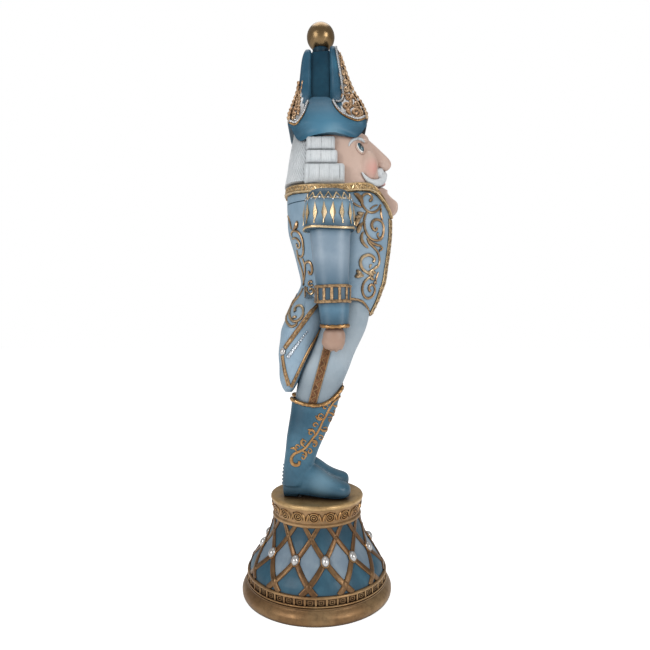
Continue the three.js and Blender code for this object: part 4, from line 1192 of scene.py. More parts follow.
def tails():
    """The coat-tails with their bands, stones and pearl; gives a search tree of one."""
    rings = body_rings(TAIL, TAIL_Y, 120, step=3.0)
    lap = np.repeat(rings[-1:], 8, 0)
    lap[:, :, 2] += np.linspace(4, 34, 8)[:, None]
    rings = np.concatenate([rings, lap])
    # Each tail leaves the coat flush: its highest rings take up the coat's own curve.
    for ring in rings:
        z = ring[0, 2]
        share = np.clip((z - 690) / 80, 0, 1) ** 1.5
        back, front, half = at(TORSO, max(z, 725))[0]
        spread = np.clip(np.abs(ring[:, 1]) / half, 0, 0.985)
        skin = (back + front) / 2 - (front - back) / 2 * (1 - spread ** COAT_POWER) ** (1 / COAT_POWER)
        ring[:, 1] = np.minimum(ring[:, 1], half * 0.972 - max(0, z - 766) * 0.9)
        skin += -0.9 + 2.4 * np.clip((z - 766) / 34, 0, 1)
        if z > 767:
            skin += 3.0 * np.clip((ring[:, 1] - 0.7 * ring[:, 1].max()) / (0.3 * ring[:, 1].max()), 0, 1) ** 2
        hind = ring[:, 0] < ring[:, 0].mean()
        ring[:, 0] = np.where(hind, ring[:, 0] * (1 - share) + (skin + 0.2) * share, ring[:, 0])
        ring[:, 0] += 4.0 * (1 - share)
        ring[:, 2] = np.where(ring[:, 2] < 560, 560 - (560 - ring[:, 2]) * 0.86, ring[:, 2])
    verts, faces = loft(rings)
    verts[:, 1] = np.maximum(verts[:, 1], 1.6 + 0.4 * np.abs(np.sin(verts[:, 2] * 0.05)))
    both_sides("coat_tail", (verts, faces), "coat", "coat_tail")
    bvh = tree_of((verts, faces))
    # Two flat gold bands, edged on both sides, that meet under the pearl.
    bands, edges = Bag(), Bag()
    for points, wide in (([(8, 766), (-18, 732), (-40, 702), (-62, 672), (-80, 647)], 4.6),
                         ([(-86, 628), (-83, 606), (-78, 580), (-70, 552)], 3.8),
                         ([(18, 712), (4, 684), (-16, 648), (-38, 604), (-54, 570), (-64, 548)], 3.2)):
        path = curve([(x, z, 0) for x, z in points], 3)
        hits, normals = seen_on(bvh, [(p[0], PLANE_Y, p[1]) for p in path], lift=0.4)
        normals = settled(normals)
        bands.put(*sweep(hits, normals, wide, 1.8, sides=10))
        across = beside(hits, normals)
        for u in (-1, 1):
            edges.put(*sweep(hits + across * wide * u + normals * 0.5, normals, 1.1, 1.7, sides=8))
    bands.both("tail_bands", "gold_cloth")
    edges.both("tail_edges", "gold")
    stones = Bag()
    for i in range(13):
        t = i / 12
        hit, n = seen_on(bvh, [(-24 - 47 * t, PLANE_Y, 688 - 62 * t)])
        if len(hit):
            stones.put(*dome(hit[0], n[0], (0, 0, 1), 2.6 + 3.0 * t, 2.6 + 3.0 * t, 2.4 + 1.6 * t, rings=4,
                             sides=8))
    stones.both("tail_stones", "crystal")
    hit, n = seen_on(bvh, [(-84, PLANE_Y, 638)])
    if len(hit):
        out = n[0] * 0.4 + np.array([-0.75, 0.5, 0])
        verts, faces = dome(hit[0], out, (0, 0, 1), 9.2, 8.6, 8.5, rings=10, sides=24)
        both_sides("tail_pearl", (verts, faces), "pearl")
    return bvh


# Scrolls as points (X, Z, half width) on the side plane, and leaves from stem to tip as
# (X, Z, X, Z, half width, bend); both are drawn wider by these factors.
SCROLL_WIDTH, SPRIG_WIDTH = 1.28, 1.4
FRONT_SCROLLS = [
    [(133.2, 1019.8, 3.2), (136.6, 1019.1, 3), (139.6, 1022.9, 3), (138.7, 1029.3, 2.8), (132.2, 1035.6, 2.6),
     (123.1, 1036, 2.6), (115.9, 1029.3, 2.8), (114.3, 1018.1, 2.8), (117.4, 1006.5, 2.8),
     (124.4, 996.6, 2.6), (133.2, 990.7, 2.6), (143.8, 989.6, 2.6), (153.9, 994.9, 2.6), (160.2, 1003.3, 2.6),
     (161.5, 1008.6, 2.2)],
    [(135.3, 998.1, 1.5), (143.8, 1004.8, 1.7), (153.3, 1008.2, 1.5)],
    [(128, 991.3, 2.4), (123.1, 981.2, 2.6), (120.4, 968.6, 2.8), (121.2, 953.8, 2.8), (124.8, 940.1, 2.8),
     (131.5, 928.5, 2.8), (141.7, 920.7, 2.8), (153.3, 918.6, 2.6), (162.3, 922.2, 2.8), (167, 931.7, 3),
     (169.1, 944.3, 2.8), (168, 958, 2.8), (161.7, 968.1, 2.8), (150.5, 971.7, 3), (141.7, 966, 3.2),
     (139.6, 954.9, 3.2), (144.8, 946, 3.2), (150.5, 944.3, 2.6), (152.2, 950.6, 3.2)],
    [(162.7, 999.1, 2.2), (162.3, 987.5, 2.4), (164.4, 975.9, 2.4), (166.1, 969.6, 2)],
    [(164.9, 927.5, 2.2), (159.6, 924.3, 2.2), (154.7, 928.5, 2), (153.7, 934.4, 2), (156.4, 936.9, 2.4)],
    [(128.6, 924.3, 2.6), (133.2, 912.7, 2.6), (142.7, 902.8, 2.6), (151.1, 893.7, 2.6), (156.8, 882.1, 2.6),
     (158.9, 868.4, 2.6), (156.8, 857.9, 2.6), (150.5, 850.1, 2.6), (142.7, 845.2, 2.6), (135.3, 840, 2.6)],
    [(133.2, 918.4, 2), (141.7, 911.6, 3), (153.3, 907, 2.8), (162.7, 904.9, 2)],
    [(160.2, 903.2, 2), (165.3, 900, 2.6), (164, 895.2, 2), (158.1, 893.1, 2.6)],
    [(130.7, 900, 1.4), (122.7, 906.4, 3), (115.9, 915.9, 3.6), (113.4, 924.3, 3.4), (115.3, 934.8, 2.6),
     (118.9, 940.1, 1.4)],
    [(142.7, 864.2, 3), (146.3, 869.5, 3.2), (143.8, 876.2, 3.2), (135.3, 881.7, 3.4), (124.8, 880.9, 3.5),
     (115.3, 875.4, 3.5), (111.1, 867, 3.5), (112.2, 855.1, 3.4), (117.4, 845.2, 3.2), (127.3, 837.9, 2.8),
     (137.4, 830.5, 2.6)],
    [(156, 837.9, 2), (152.6, 829.4, 2.4), (149.7, 818.9, 2.2), (150.5, 808.3, 1.6)],
    [(135.3, 826.3, 2.4), (127.3, 821, 2.6), (119.5, 811.5, 2.8), (115.7, 798.9, 2.8), (116.8, 786.2, 2.8),
     (122.3, 775.7, 2.8), (131.1, 772.5, 2.8), (140.6, 777.8, 2.8), (146.3, 789.4, 2.8), (146.3, 801, 2.6),
     (140.6, 807.3, 2.6), (133.7, 803.7, 2.8), (132.4, 794.6, 3), (136.4, 790.4, 3)],
    [(113.2, 1002.7, 1.8), (101.6, 1007.6, 2.2), (92.1, 1014.5, 2.2), (85.2, 1023.8, 1.8)],
]
FRONT_SPRIGS = [(121, 989, 103, 990, 3.4, 0.15), (118, 985, 96, 977, 3.8, 0.1),
                (116, 981, 100, 954, 4.4, -0.15), (118, 965, 105, 937, 4.2, -0.1),
                (116, 1003, 95, 1038, 4.8, -0.15), (119, 830, 102, 845, 3.8, 0.1),
                (119, 828, 97, 827, 4.2, -0.1), (126, 839, 143, 828, 3.6, 0.2), (135, 840, 149, 834, 3, 0.2),
                (145, 846, 157, 852, 2.6, 0.2), (135, 832, 146, 820, 3.2, -0.2),
                (146, 806, 151, 817, 2.4, 0.2), (135, 848, 140, 858, 2.4, 0.2)]
BACK_SCROLLS = [
    [(-71.7, 980.1, 2.2), (-68.7, 971.7, 2.6), (-65.8, 962.2, 2.6), (-62.8, 947.5, 2.2)],
    [(-60.7, 928.1, 2.2), (-62.8, 935.9, 2.6), (-58.6, 942.8, 2.8), (-49.1, 941.8, 2.8), (-40.7, 933.3, 2.8),
     (-35.4, 920.1, 2.8), (-33.3, 905.3, 2.8), (-32.5, 890.5, 2.6), (-35.4, 880, 2.6), (-40.7, 877.3, 2.8),
     (-45.6, 880.4, 2.4)],
    [(-60.7, 922.6, 2), (-54.8, 925.1, 2.4), (-46.8, 920.1, 2.6), (-41.8, 911.6, 2.6), (-41.8, 903.2, 2.4),
     (-45.6, 900.2, 2.4), (-48.9, 904.9, 2.6), (-48.9, 910.6, 3)],
    [(-49.1, 894.8, 2.2), (-45.6, 873.7, 2.6), (-39.6, 856.8, 2.6), (-34.4, 837.8, 2.6), (-32.1, 821, 2.8),
     (-32.1, 805.2, 2.8)],
    [(-35, 873.7, 1.8), (-29.5, 856.8, 2.4), (-28.7, 837.8, 2.4), (-30.8, 818.9, 2.2)],
    [(-29.1, 853.7, 2.2), (-27.8, 861, 2.8), (-21.7, 865.3, 3), (-14.4, 861, 3), (-11, 850.5, 3),
     (-11, 839.5, 3), (-14.4, 834.1, 3), (-18.6, 836.2, 2.6), (-19.4, 841.6, 2.8)],
    [(-8.5, 806.6, 2.4), (-12.7, 804.1, 2.4), (-18.1, 805.8, 2.4), (-19.8, 810.4, 2.4), (-17.3, 814.7, 2.4),
     (-12.7, 815.1, 2.6), (-11.4, 811.3, 2.6)],
    [(-24.5, 800.3, 2.2), (-24.5, 792.5, 2.6), (-20.3, 785.1, 2.6), (-13.3, 783, 2.8), (-8, 788.3, 2.6),
     (-9.3, 795.7, 2.4), (-14.8, 796.5, 2.6), (-16, 791.9, 2.8)],
    [(-29.1, 802, 1.8), (-28.1, 789.4, 2.4), (-29.1, 774.2, 1.4)],
]
BACK_SPRIGS = [(-61, 943, -49, 968, 4.2, -0.15)]
TAIL_SCROLLS = [
    [(-32.1, 804.1, 2.6), (-34.4, 793.6, 2.8), (-41.8, 780.9, 2.8), (-50.2, 770.4, 2.8), (-58.6, 759.9, 2.8),
     (-64.9, 747.2, 3), (-68.1, 732.4, 3), (-65.6, 721.5, 3), (-58.2, 714.5, 3), (-48.1, 715.6, 3),
     (-38.6, 723, 3), (-33.3, 734.6, 3), (-34.4, 746.8, 2.8), (-40.7, 754.2, 2.8), (-49.1, 752.5, 3),
     (-54, 745.1, 3.4), (-54, 738.4, 3.4)],
    [(-47, 786.2, 1.8), (-53.4, 772.5, 2.2), (-62.8, 759.9, 2.4), (-71.3, 743, 2.8), (-75.5, 728.2, 2.8),
     (-75.9, 715.6, 2.8), (-71.3, 706.7, 2.8), (-62.4, 701.2, 3), (-52.3, 705.5, 2.8), (-49.1, 711.4, 2.4)],
]
TAIL_SPRIGS = [(-61, 720, -50, 725, 3, 0.2), (-73, 737, -78, 747, 3, 0.1)]


def coat_scrolls(coat_tree, tail_tree):
    """The raised scrollwork on the coat's fronts, its back and its tails."""
    bag = Bag()
    for tree, lines, leaves in ((coat_tree, FRONT_SCROLLS, FRONT_SPRIGS),
                                (coat_tree, BACK_SCROLLS, BACK_SPRIGS),
                                (tail_tree, TAIL_SCROLLS, TAIL_SPRIGS)):
        drawn = [[(x, PLANE_Y, z, half * SCROLL_WIDTH) for x, z, half in line] for line in lines]
        drawn += [leaf(*ends, half * SPRIG_WIDTH, bend) for *ends, half, bend in leaves]
        made = strokes(tree, drawn, lift=0.2, rise=0.95)
        bag.put(made.verts, made.faces)
    bag.both("coat_scrolls", "scroll")


coat_parts = coat_body()
coat_obj = make("coat", *coat_parts, "coat", replaces=["coat_body"], angle=50)
cut_prism(coat_obj, box_outline(-150, -20, LEVER_LOW - 0.4, 1090), LEVER_HALF + 0.7)
coat_tree = tree_of(coat_parts)
lever_panel()
collar()
plackets()
waistcoat()
hem()
yoke_seam()
tail_tree = tails()
coat_scrolls(coat_tree, tail_tree)


# ---------------------------------------------------------------- arms
def even_ring(outline, z, y, grow, power, number, phase=0.0):
    """Points evenly spaced round a body, with outward normals and directions round it."""
    path, normal = ring_on(outline, z, y, grow, 720, power)
    gaps = np.linalg.norm(np.roll(path, -1, 0) - path, axis=1)
    run = np.concatenate([[0], np.cumsum(gaps)])
    spots = (np.arange(number) + phase) / number * run[-1]
    i = np.clip(np.searchsorted(run, spots), 0, 719)
    return path[i], normal[i]


# Drops round an epaulette, and bars round a cuff band.
DROPS, BARS = 15, 13


def epaulettes():
    """Shoulder pieces with a rim, long drops, a zigzag and stones."""
    shoulder = body_rings(EPAULETTE, ARM_Y, 110, 2.5, 3)
    both_sides("epaulette", loft(shoulder), "epaulette", "epaulette")
    gold, stones, shards = Bag(), Bag(), Bag()
    for z, size, grow in ((937, 3.0, 0.6), (1007, 1.0, 0.4)):
        path, normal = ring_on(EPAULETTE, z, ARM_Y, grow, 110, 2.5)
        path[:, 2] += 1.6 * np.sin(np.linspace(0, 2 * math.pi, 110) * 3 + 1)
        gold.put(*sweep(path, normal, size, size, sides=10, sink=1.0, closed=True))
    tops, outs = even_ring(EPAULETTE, 985, ARM_Y, 0, 2.5, DROPS, 0.3)
    lows, _ = even_ring(EPAULETTE, 951, ARM_Y, 0, 2.5, DROPS, 0.3)
    valleys, facing = even_ring(EPAULETTE, 1004, ARM_Y, 0, 2.5, DROPS * 2, 0.6)
    peaks, _ = even_ring(EPAULETTE, 1020, ARM_Y, 0, 2.5, DROPS * 2, 0.6)
    for k in range(DROPS):
        top, out, low = tops[k], outs[k], lows[k]
        up = (top - low) / np.linalg.norm(top - low)
        across = np.cross(up, out)
        mid = low + up * 22
        pts = [mid + up * 25, mid - across * 8.2 - up * 2, mid - up * 23, mid + across * 8.2 - up * 2,
               mid + out * 4.6 - up * 2, mid - out * 2.5]
        shards.put(pts, [(4, 0, 1), (4, 1, 2), (4, 2, 3), (4, 3, 0), (5, 1, 0), (5, 2, 1), (5, 3, 2),
                         (5, 0, 3)])
        shards.put(*sweep([mid - up * 18 + out * 1.4, mid - up * 27 + out * 1.6], [out, out], 1.5, 1.5,
                          sides=6))
        # One tooth of the zigzag over each pair of drops, with a stone in it.
        a, b, c = valleys[2 * k], peaks[2 * k + 1], valleys[(2 * k + 2) % (2 * DROPS)]
        n = facing[2 * k + 1]
        for p, q in ((a, b), (b, c)):
            path = curve([p, q], 3)
            gold.put(*sweep(path, n, 1.7, 2.2, sides=6))
        gold.put(*dome(b, n, (0, 0, 1), 2.2, 2.0, 2.4, rings=4, sides=8))
        spot = (a + c) / 2 * 0.5 + valleys[2 * k + 1] * 0.5
        stones.put(*dome(spot + np.array([0, 0, 3.2]), n, (0, 0, 1), 3.4, 3.4, 2.8, rings=4, sides=8))
        stones.put(*dome(a + np.array([0, 0, -1.5]), n, (0, 0, 1), 2.4, 2.4, 2.2, rings=4, sides=8))
    gold.both("epaulette_gold", "bright_gold")
    shards.both("epaulette_drops", "bright_gold", angle=20)
    stones.both("epaulette_stones", "crystal", angle=20)


def cuffs():
    """Sleeves, the windowed cuff bands and the lower cuffs with their hems."""
    both_sides("sleeve", loft(body_rings(SLEEVE, ARM_Y, 96, 2.2, 4)), "sleeve", "sleeve")
    floor = [[757.8, -1, 82, 32], [800.5, -1.5, 82.5, 33]]
    both_sides("cuff_floor", loft(body_rings(floor, ARM_Y - 1, 96, 2.4, 3)), "cuff", "cuff_band")
    frame_bag = Bag()
    for z in (761.5, 798):
        path, normal = ring_on(floor, z, ARM_Y - 1, 1.0, 110, 2.4)
        path[:, 2] += 1.0 * np.sin(np.linspace(0, 2 * math.pi, 110) * 2)
        frame_bag.put(*sweep(path, normal, 3.8, 3.0, sides=10, sink=1.0, closed=True))
        frame_bag.put(*sweep(path + normal * 1.8, normal, 1.4, 2.2, sides=8, sink=1.0, closed=True))
    lows, outs = even_ring(floor, 763, ARM_Y - 1, 0.4, 2.4, BARS, 0.4)
    highs, _ = even_ring(floor, 797, ARM_Y - 1, 0.4, 2.4, BARS, 0.4)
    for low, high, out in zip(lows, highs, outs):
        frame_bag.put(*sweep(curve([low, high], 4), out, 3.6, 2.6, sides=10))
    frame_bag.both("cuff_frame", "gold_cloth")
    low_cuff = [[698, 13, 78, 29], [728, 9, 80, 30.5], [757.6, 5, 82, 32]]
    both_sides("lower_cuff", loft(body_rings(low_cuff, ARM_Y - 3, 96, 2.4, 3)), "cuff", "cuff")
    path, normal = ring_on(low_cuff, 702, ARM_Y - 3, 0.8, 110, 2.4)
    path[:, 2] += 1.2 * np.sin(np.linspace(0, 2 * math.pi, 110) * 2 + 1)
    wave = 1 + 0.15 * np.sin(np.arange(110) * 0.9)
    both_sides("cuff_hem", sweep(path, normal, 4.4 * wave, 3.4, sides=12, sink=1.0, closed=True), "gold")


def fists():
    hand_y = ARM_Y - 10
    fist = [ball(44, hand_y, 676, 28, 22, 30), ball(42, hand_y, 664, 29, 20, 22)]
    for x, low in ((25, 650), (37, 645), (49, 643), (60, 648)):
        fist.append(ball(x, hand_y - 4, low + 8, 7.5, 15, 13))
        fist.append(ball(x, hand_y - 10, low + 14, 7, 9, 13))
    fist.append(ball(62, hand_y - 8, 668, 9, 13, 20))
    verts, faces = remeshed(fist, 1.8, 5)
    verts[:, 2] = np.minimum(verts[:, 2], 699)
    both_sides("fist", (verts, faces), "hand", "hand", angle=70)


epaulettes()
cuffs()
fists()


# ---------------------------------------------------------------- head, hair and jaw
# The slot under the face that the jaw's arm moves in, as (X, Z), and its half width.
CHANNEL = [(-62, 1000), (-62, 1119), (-26, 1120), (-8, 1117), (45, 1101), (120, 1081), (215, 1079),
           (215, 1000)]
CHANNEL_HALF = 27.0
# Name, material, lift off the face, shift along X and Z, half sizes and rise, rings, sides.
EYE_LAYERS = (("eye_white", "white", -1.0, 0, 0, 15.5, 9.0, 4.4, 9, 28),
              ("eye_iris", "iris", 0.6, 1.4, 2.4, 12.0, 7.2, 4.0, 8, 24),
              ("eye_pupil", "pupil", 1.6, 1.4, 4.0, 7.0, 4.6, 3.8, 7, 20))


def face():
    """The face with its nose, cheeks and brow ridges, cut out for the jaw; gives a search tree of it."""
    forms = [loft(body_rings(HEAD, 0, 90, 2.35, 5))]
    nose = [[1118, 146, 184, 9], [1123, 140, 193, 15], [1132, 138, 199, 18.5], [1142, 136, 198.5, 18.5],
            [1152, 135, 192, 17], [1168, 128, 176, 14], [1186, 122, 157, 12], [1202, 116, 138, 11],
            [1210, 112, 126, 11]]
    forms.append(loft(body_rings(nose, 0, 60, 2.1, 2)))
    for side in (-1, 1):
        forms.append(ball(172, side * 14, 1132, 12, 9, 10))
        forms.append(ball(133, side * 56, 1116, 24, 22, 40))
        forms.append(ball(118, side * 50, 1180, 17, 22, 9))
    verts, faces = remeshed(forms, 2.0, 5)
    cut_prism(make("face", verts, faces, "skin", replaces=["head"], angle=60), CHANNEL, CHANNEL_HALF)
    return tree_of((verts, faces))


def eyes(bvh):
    """Eyes with their lids and brows."""
    hit, n = seen_on(bvh, [(111, 75, 1156)])
    slant = np.array([-0.5, 0, 0.86])
    spot, out = hit[0], n[0]
    for layer, mat, lift, ahead, up, a, b, height, rings, sides in EYE_LAYERS:
        layer_at = spot + out * lift + np.array([ahead, 0, up])
        both_sides(layer, dome(layer_at, out, slant, a, b, height, rings=rings, sides=sides), mat)
    lid = hoop(spot + out * 0.4, slant * 16.2, unit(np.cross(out, slant)) * 9.8, 36)
    both_sides("eye_lids", sweep(lid, out, 2.0, 2.6, sides=8, closed=True), "skin")
    brows = strokes(bvh, [[(82, 75, 1161, 1.6), (86, 75, 1170, 3.0), (95, 75, 1178, 4.0),
                           (106, 75, 1180, 4.2), (115, 75, 1178, 3.8), (122, 75, 1171, 2.0)]], lift=0.2,
                    rise=0.75)
    brows.both("eyebrow", "hair")
    make("upper_lip", *dome(np.array([176.0, 0, 1083.5]), (1, 0, -0.1), (0, 1, 0), 17, 4.4, 8, rings=8,
                            sides=28), "lip")


def moustache():
    """A tapered mass each side with combed strands over it."""
    mass, strands = [], Bag()
    line = [(181, 0, 1110, 8), (181, 8, 1103, 10), (177, 20, 1091, 11), (168, 36, 1080, 10.5),
            (154, 52, 1073.5, 9.4), (140, 64, 1074, 7.6), (127, 73, 1082, 5.4), (118, 77, 1093, 3.0)]
    path = curve(line, 3)
    for side in (-1, 1):
        for x, y, z, r in path:
            mass.append(ball(x - 2, side * y, z, r * 0.85, r * 0.85, r, 14))
    mass += [ball(171, 0, 1112, 11, 16, 10), ball(173, 0, 1098, 10, 16, 12), ball(166, 11, 1113, 12, 11, 13),
             ball(166, -11, 1113, 12, 11, 13), ball(162, 24, 1104, 11, 11, 14),
             ball(162, -24, 1104, 11, 11, 14)]
    verts, faces = remeshed(mass, 1.8, 4)
    make("moustache_mass", verts, faces, "hair", replaces=["moustache"], angle=70)
    tree = tree_of((verts, faces))
    for k in range(7):
        share = -0.85 + 1.7 * k / 6
        pts = []
        for x, y, z, r in path[::2]:
            origin = np.array([x + 60, y + 30, z + r * share])
            h, n = onto(tree, [origin], (-1, -0.5, 0), start=0)
            if len(h):
                pts.append((h[0], n[0]))
        if len(pts) > 5:
            hits = curve([p[0] for p in pts], 2)
            normals = curve([p[1] for p in pts], 2)[:len(hits)]
            m = min(len(hits), len(normals))
            grow = np.sin(np.linspace(0.15, math.pi - 0.05, m))
            strands.put(*sweep(hits[:m], settled(normals[:m]), 1.7 * grow + 0.4, 1.5 * grow + 0.3, sides=6))
    strands.both("moustache_strands", "hair")


# Spacing of the combed strands, length of one curl, and where in it the parting lies.
STRAND, CURL, CURL_MIDDLE = 5.6, 25.5, 12.7


def hair():
    """The combed hair at the back, and three tiers of side curls."""
    count = 420
    turn = around(count)
    rings = []
    for z in np.linspace(1070.5, 1212, 106):
        back, front, half = at(HAIR, z)[0]
        ridge = 2.2 * np.abs(np.sin(turn * 30 + z * 0.26)) ** 0.6 * np.clip(-np.cos(turn) + 0.9, 0, 1)
        x, y = section(turn, ((back + front) / 2, 0), (front - back) / 2, half, 2.5)
        out = columns(np.cos(turn), np.sin(turn))
        rings.append(columns(x + out[:, 0] * ridge, y + out[:, 1] * ridge, z))
    back = make("ponytail", *loft(rings), "hair", replaces=["back_hair"], angle=80)
    cut_prism(back, [(-72, 1040), (-72, 1096), (60, 1096), (60, 1040)], CHANNEL_HALF)
    tiers = ((1062, 1115, -31, 71, 105), (1111, 1150, -27, 53, 101), (1146, 1186, -26, 47, 96))
    for tier, (low, high, x0, x1, out) in enumerate(tiers):
        xs = np.linspace(x0, x1, 190)
        turn = around(56)
        rings = []
        for x in xs:
            end = min(1.0, math.sqrt(max(0.02, min(x - x0, x1 - x) / 5.0)))
            combed = abs(math.sin(math.pi * (x - x0) / STRAND)) ** 0.6
            parting = math.exp(-(((x - x0) % CURL - CURL_MIDDLE) / 1.1) ** 2)
            thick = 26 * (0.55 + 0.45 * end) * (1 - 0.036 * (1 - combed) - 0.07 * parting)
            tall = (high - low) / 2 * (0.8 + 0.2 * end)
            c, s = np.cos(turn), np.sin(turn)
            yy = out - 26 + thick * squared(c, 0.95)
            zz = (low + high) / 2 + tall * squared(s, 0.88)
            rings.append(columns(x, yy, zz))
        verts, faces = loft(rings)
        both_sides(f"curl_{tier + 1}", (verts, faces), "hair", "side_curls" if tier == 0 else None, angle=70)


def jaw():
    """The chin with its arm up to the pin, the lower lip and the teeth, on the jaw's own body."""
    chin = [(150, 1068), (178, 1069), (187, 1061), (188, 1053), (200, 1041), (213, 1031), (216, 1022),
            (213, 1008), (204, 997), (190, 990), (172, 974), (163, 944), (147, 942), (139, 985), (108, 1040),
            (40, 1062), (-10, 1082), (-14, 1086)]
    arm = [(-44, 1086), (-41, 1104), (-28, 1113), (-15, 1106), (40, 1094), (118, 1073)]
    path = rounded(chin + arm, 4, 4)
    rings = []
    for y, inset in ((-24, 3.0), (-23, 1.2), (-20.5, 0), (20.5, 0), (23, 1.2), (24, 3.0)):
        centre = np.array([120, 1045])
        away = path - centre
        shrunk = centre + away * (1 - inset / np.maximum(20, np.linalg.norm(away, axis=1)))[:, None]
        rings.append(columns(shrunk[:, 0], y, shrunk[:, 1]))
    forms = [loft(np.array(rings)), ball(196, 0, 1020, 22, 23, 24), ball(186, 0, 1036, 16, 23, 16)]
    verts, faces = remeshed(forms, 2.0, 6)
    verts[:, 1] = np.clip(verts[:, 1], -25.2, 25.2)
    make("jaw_form", verts, faces, "skin", body="jaw", replaces=["jaw"], angle=60)
    lip = dome(np.array([183.0, 0, 1063.5]), (1, 0, 0.25), (0, 1, 0), 15, 4.6, 6.5, rings=8, sides=28)
    make("lower_lip", *lip, "lip", body="jaw")
    teeth = Bag()
    for k in range(6):
        y = -15 + 6 * k
        teeth.put(*dome(np.array([174.0 - abs(y) * 0.12, y, 1068.5]), (0.15, 0, 1), (0, 1, 0), 2.8, 2.2, 4.0,
                        rings=5, sides=12))
    teeth.make("lower_teeth", "white", body="jaw")


eyes(face())
moustache()
hair()
jaw()


# ---------------------------------------------------------------- hat
BRIM_X = 29.0
# The brim's upper edge and its hem, as (X, Z).
EDGE = [(-78, 1226), (-70, 1220), (-62, 1215), (-54, 1213), (-46, 1219), (-31, 1246), (-24, 1272),
        (-14, 1289), (8, 1292), (30, 1291), (40, 1282), (49, 1261), (67, 1239), (96, 1224), (110, 1224),
        (122, 1232), (134, 1243)]
HEM_Z = [(-78, 1214), (-71, 1212), (-65, 1206), (-58, 1195), (-50, 1183), (-40, 1175), (-10, 1183),
         (40, 1189), (80, 1184), (98, 1184), (112, 1194), (124, 1209), (134, 1221)]
FRONT_FLAP = [[1214, 33, 119, 74], [1222, 32, 124, 80], [1241, 32, 127, 80], [1262, 32, 121, 70],
              [1282, 32, 114, 60], [1301, 32, 104, 50], [1322, 32, 94, 43], [1357, 32, 80, 42],
              [1401, 32, 66, 42], [1428, 32, 56, 40], [1440, 34, 50, 32]]
BACK_FLAP = [[1217, -67, -14, 68], [1225, -70, -13, 78], [1241, -70, -13, 78], [1262, -65, -13, 69],
             [1282, -60, -13, 59], [1301, -55, -13, 49], [1322, -50, -13, 43], [1357, -46, -13, 42],
             [1401, -41, -13, 42], [1420, -36, -13, 40], [1431, -31, -15, 32]]
# How far out the flaps reach at each height, as (Z, Y).
FLARE = [(1176, 95), (1200, 93), (1220, 89), (1241, 83.5), (1262, 74), (1282, 64.5), (1301, 58)]
# Where each flap's silver ground begins, as (Z, X).
CORD = [(1222, 62), (1250, 62), (1283, 66), (1301, 68), (1330, 66), (1360, 62), (1400, 55), (1440, 49)]
BACK_CORD = [(1222, -30), (1250, -32), (1284, -36), (1310, -39), (1330, -44), (1345, -49), (1360, -60)]


def brim_point(turn, share):
    """A ring of the brim, from its hem at share 0 to its upper edge at 1."""
    c = np.cos(turn)
    x = BRIM_X + (99 + 5 * np.sin(share * math.pi / 2)) * squared(c, 0.93)
    s = np.sin(turn)
    out = np.abs((x - BRIM_X) / 104.0)
    top_half = 46 + 34 * out ** 2.2
    half = 97 + (top_half - 97) * share ** 1.1
    low, high = at(HEM_Z, x)[:, 0], at(EDGE, x)[:, 0]
    z = low + (high - low) * share
    # Where a flap stands inside the brim, the brim runs just outside it.
    cover = at(FLARE, z)[:, 0]
    tip, middle = np.where(x > 9, 131, -76), np.where(x > 9, 79, -42)
    beyond = np.clip((x - middle) / (tip - middle), 0, 1)
    cover = cover * (1 - beyond ** 5) ** 0.2 * (1 - (1 - np.clip((z - 1176) / 46, 0, 1)) ** 2)
    plain = half * np.abs(s) ** (0.93 - 0.35 * share)
    y = np.sign(s) * (plain ** 6 + cover ** 6) ** (1 / 6)
    return columns(x, y, z)


def brim():
    """The dark brim, with a silver rope and a gold cord along its side flaps."""
    turn = around(180)
    rings = [brim_point(turn, s) for s in np.linspace(0, 1, 36)]
    lip = rings[0].copy()
    lip[:, :2] = (lip[:, :2] - (BRIM_X, 0)) * 0.965 + (BRIM_X, 0)
    lip[:, 2] += 1.5
    inner = brim_point(turn, 1.0)
    inner[:, :2] = (inner[:, :2] - (BRIM_X, 0)) * 0.94 + (BRIM_X, 0)
    brim = [lip] + rings + [inner]
    make("hat_brim_skin", *loft(np.array(brim)), "hat_blue", replaces=["hat_brim"], angle=60)
    top = rings[-1]
    silver, gold = Bag(), Bag()
    for side in (1, -1):
        keep = [i for i in range(180) if 0.02 < side * math.sin(turn[i]) and abs(top[i, 0] - BRIM_X) < 103]
        line = top[keep]
        line = line[np.argsort(line[:, 0])]
        for first, last in ((-70, -22), (38, 134)):
            part = line[(line[:, 0] >= first) & (line[:, 0] <= last)]
            path = curve(part, 1.5)
            out = unit(np.array([0, side * 0.9, 0.45]))
            twist = np.arange(len(path))
            silver.put(*sweep(path + [0, side * 0.5, 3.2], out, 3.2 + 0.45 * np.sin(twist * 1.5),
                              3.4 + 0.5 * np.sin(twist * 1.5), sides=12, sink=1.0))
            gold.put(*sweep(path + [0, side * 2.2, -2.2], out, 1.9, 2.4 + 0.3 * np.sin(twist * 2.1), sides=8,
                            sink=1.0))
    silver.make("brim_rope", "silver")
    gold.make("brim_cord", "gold")


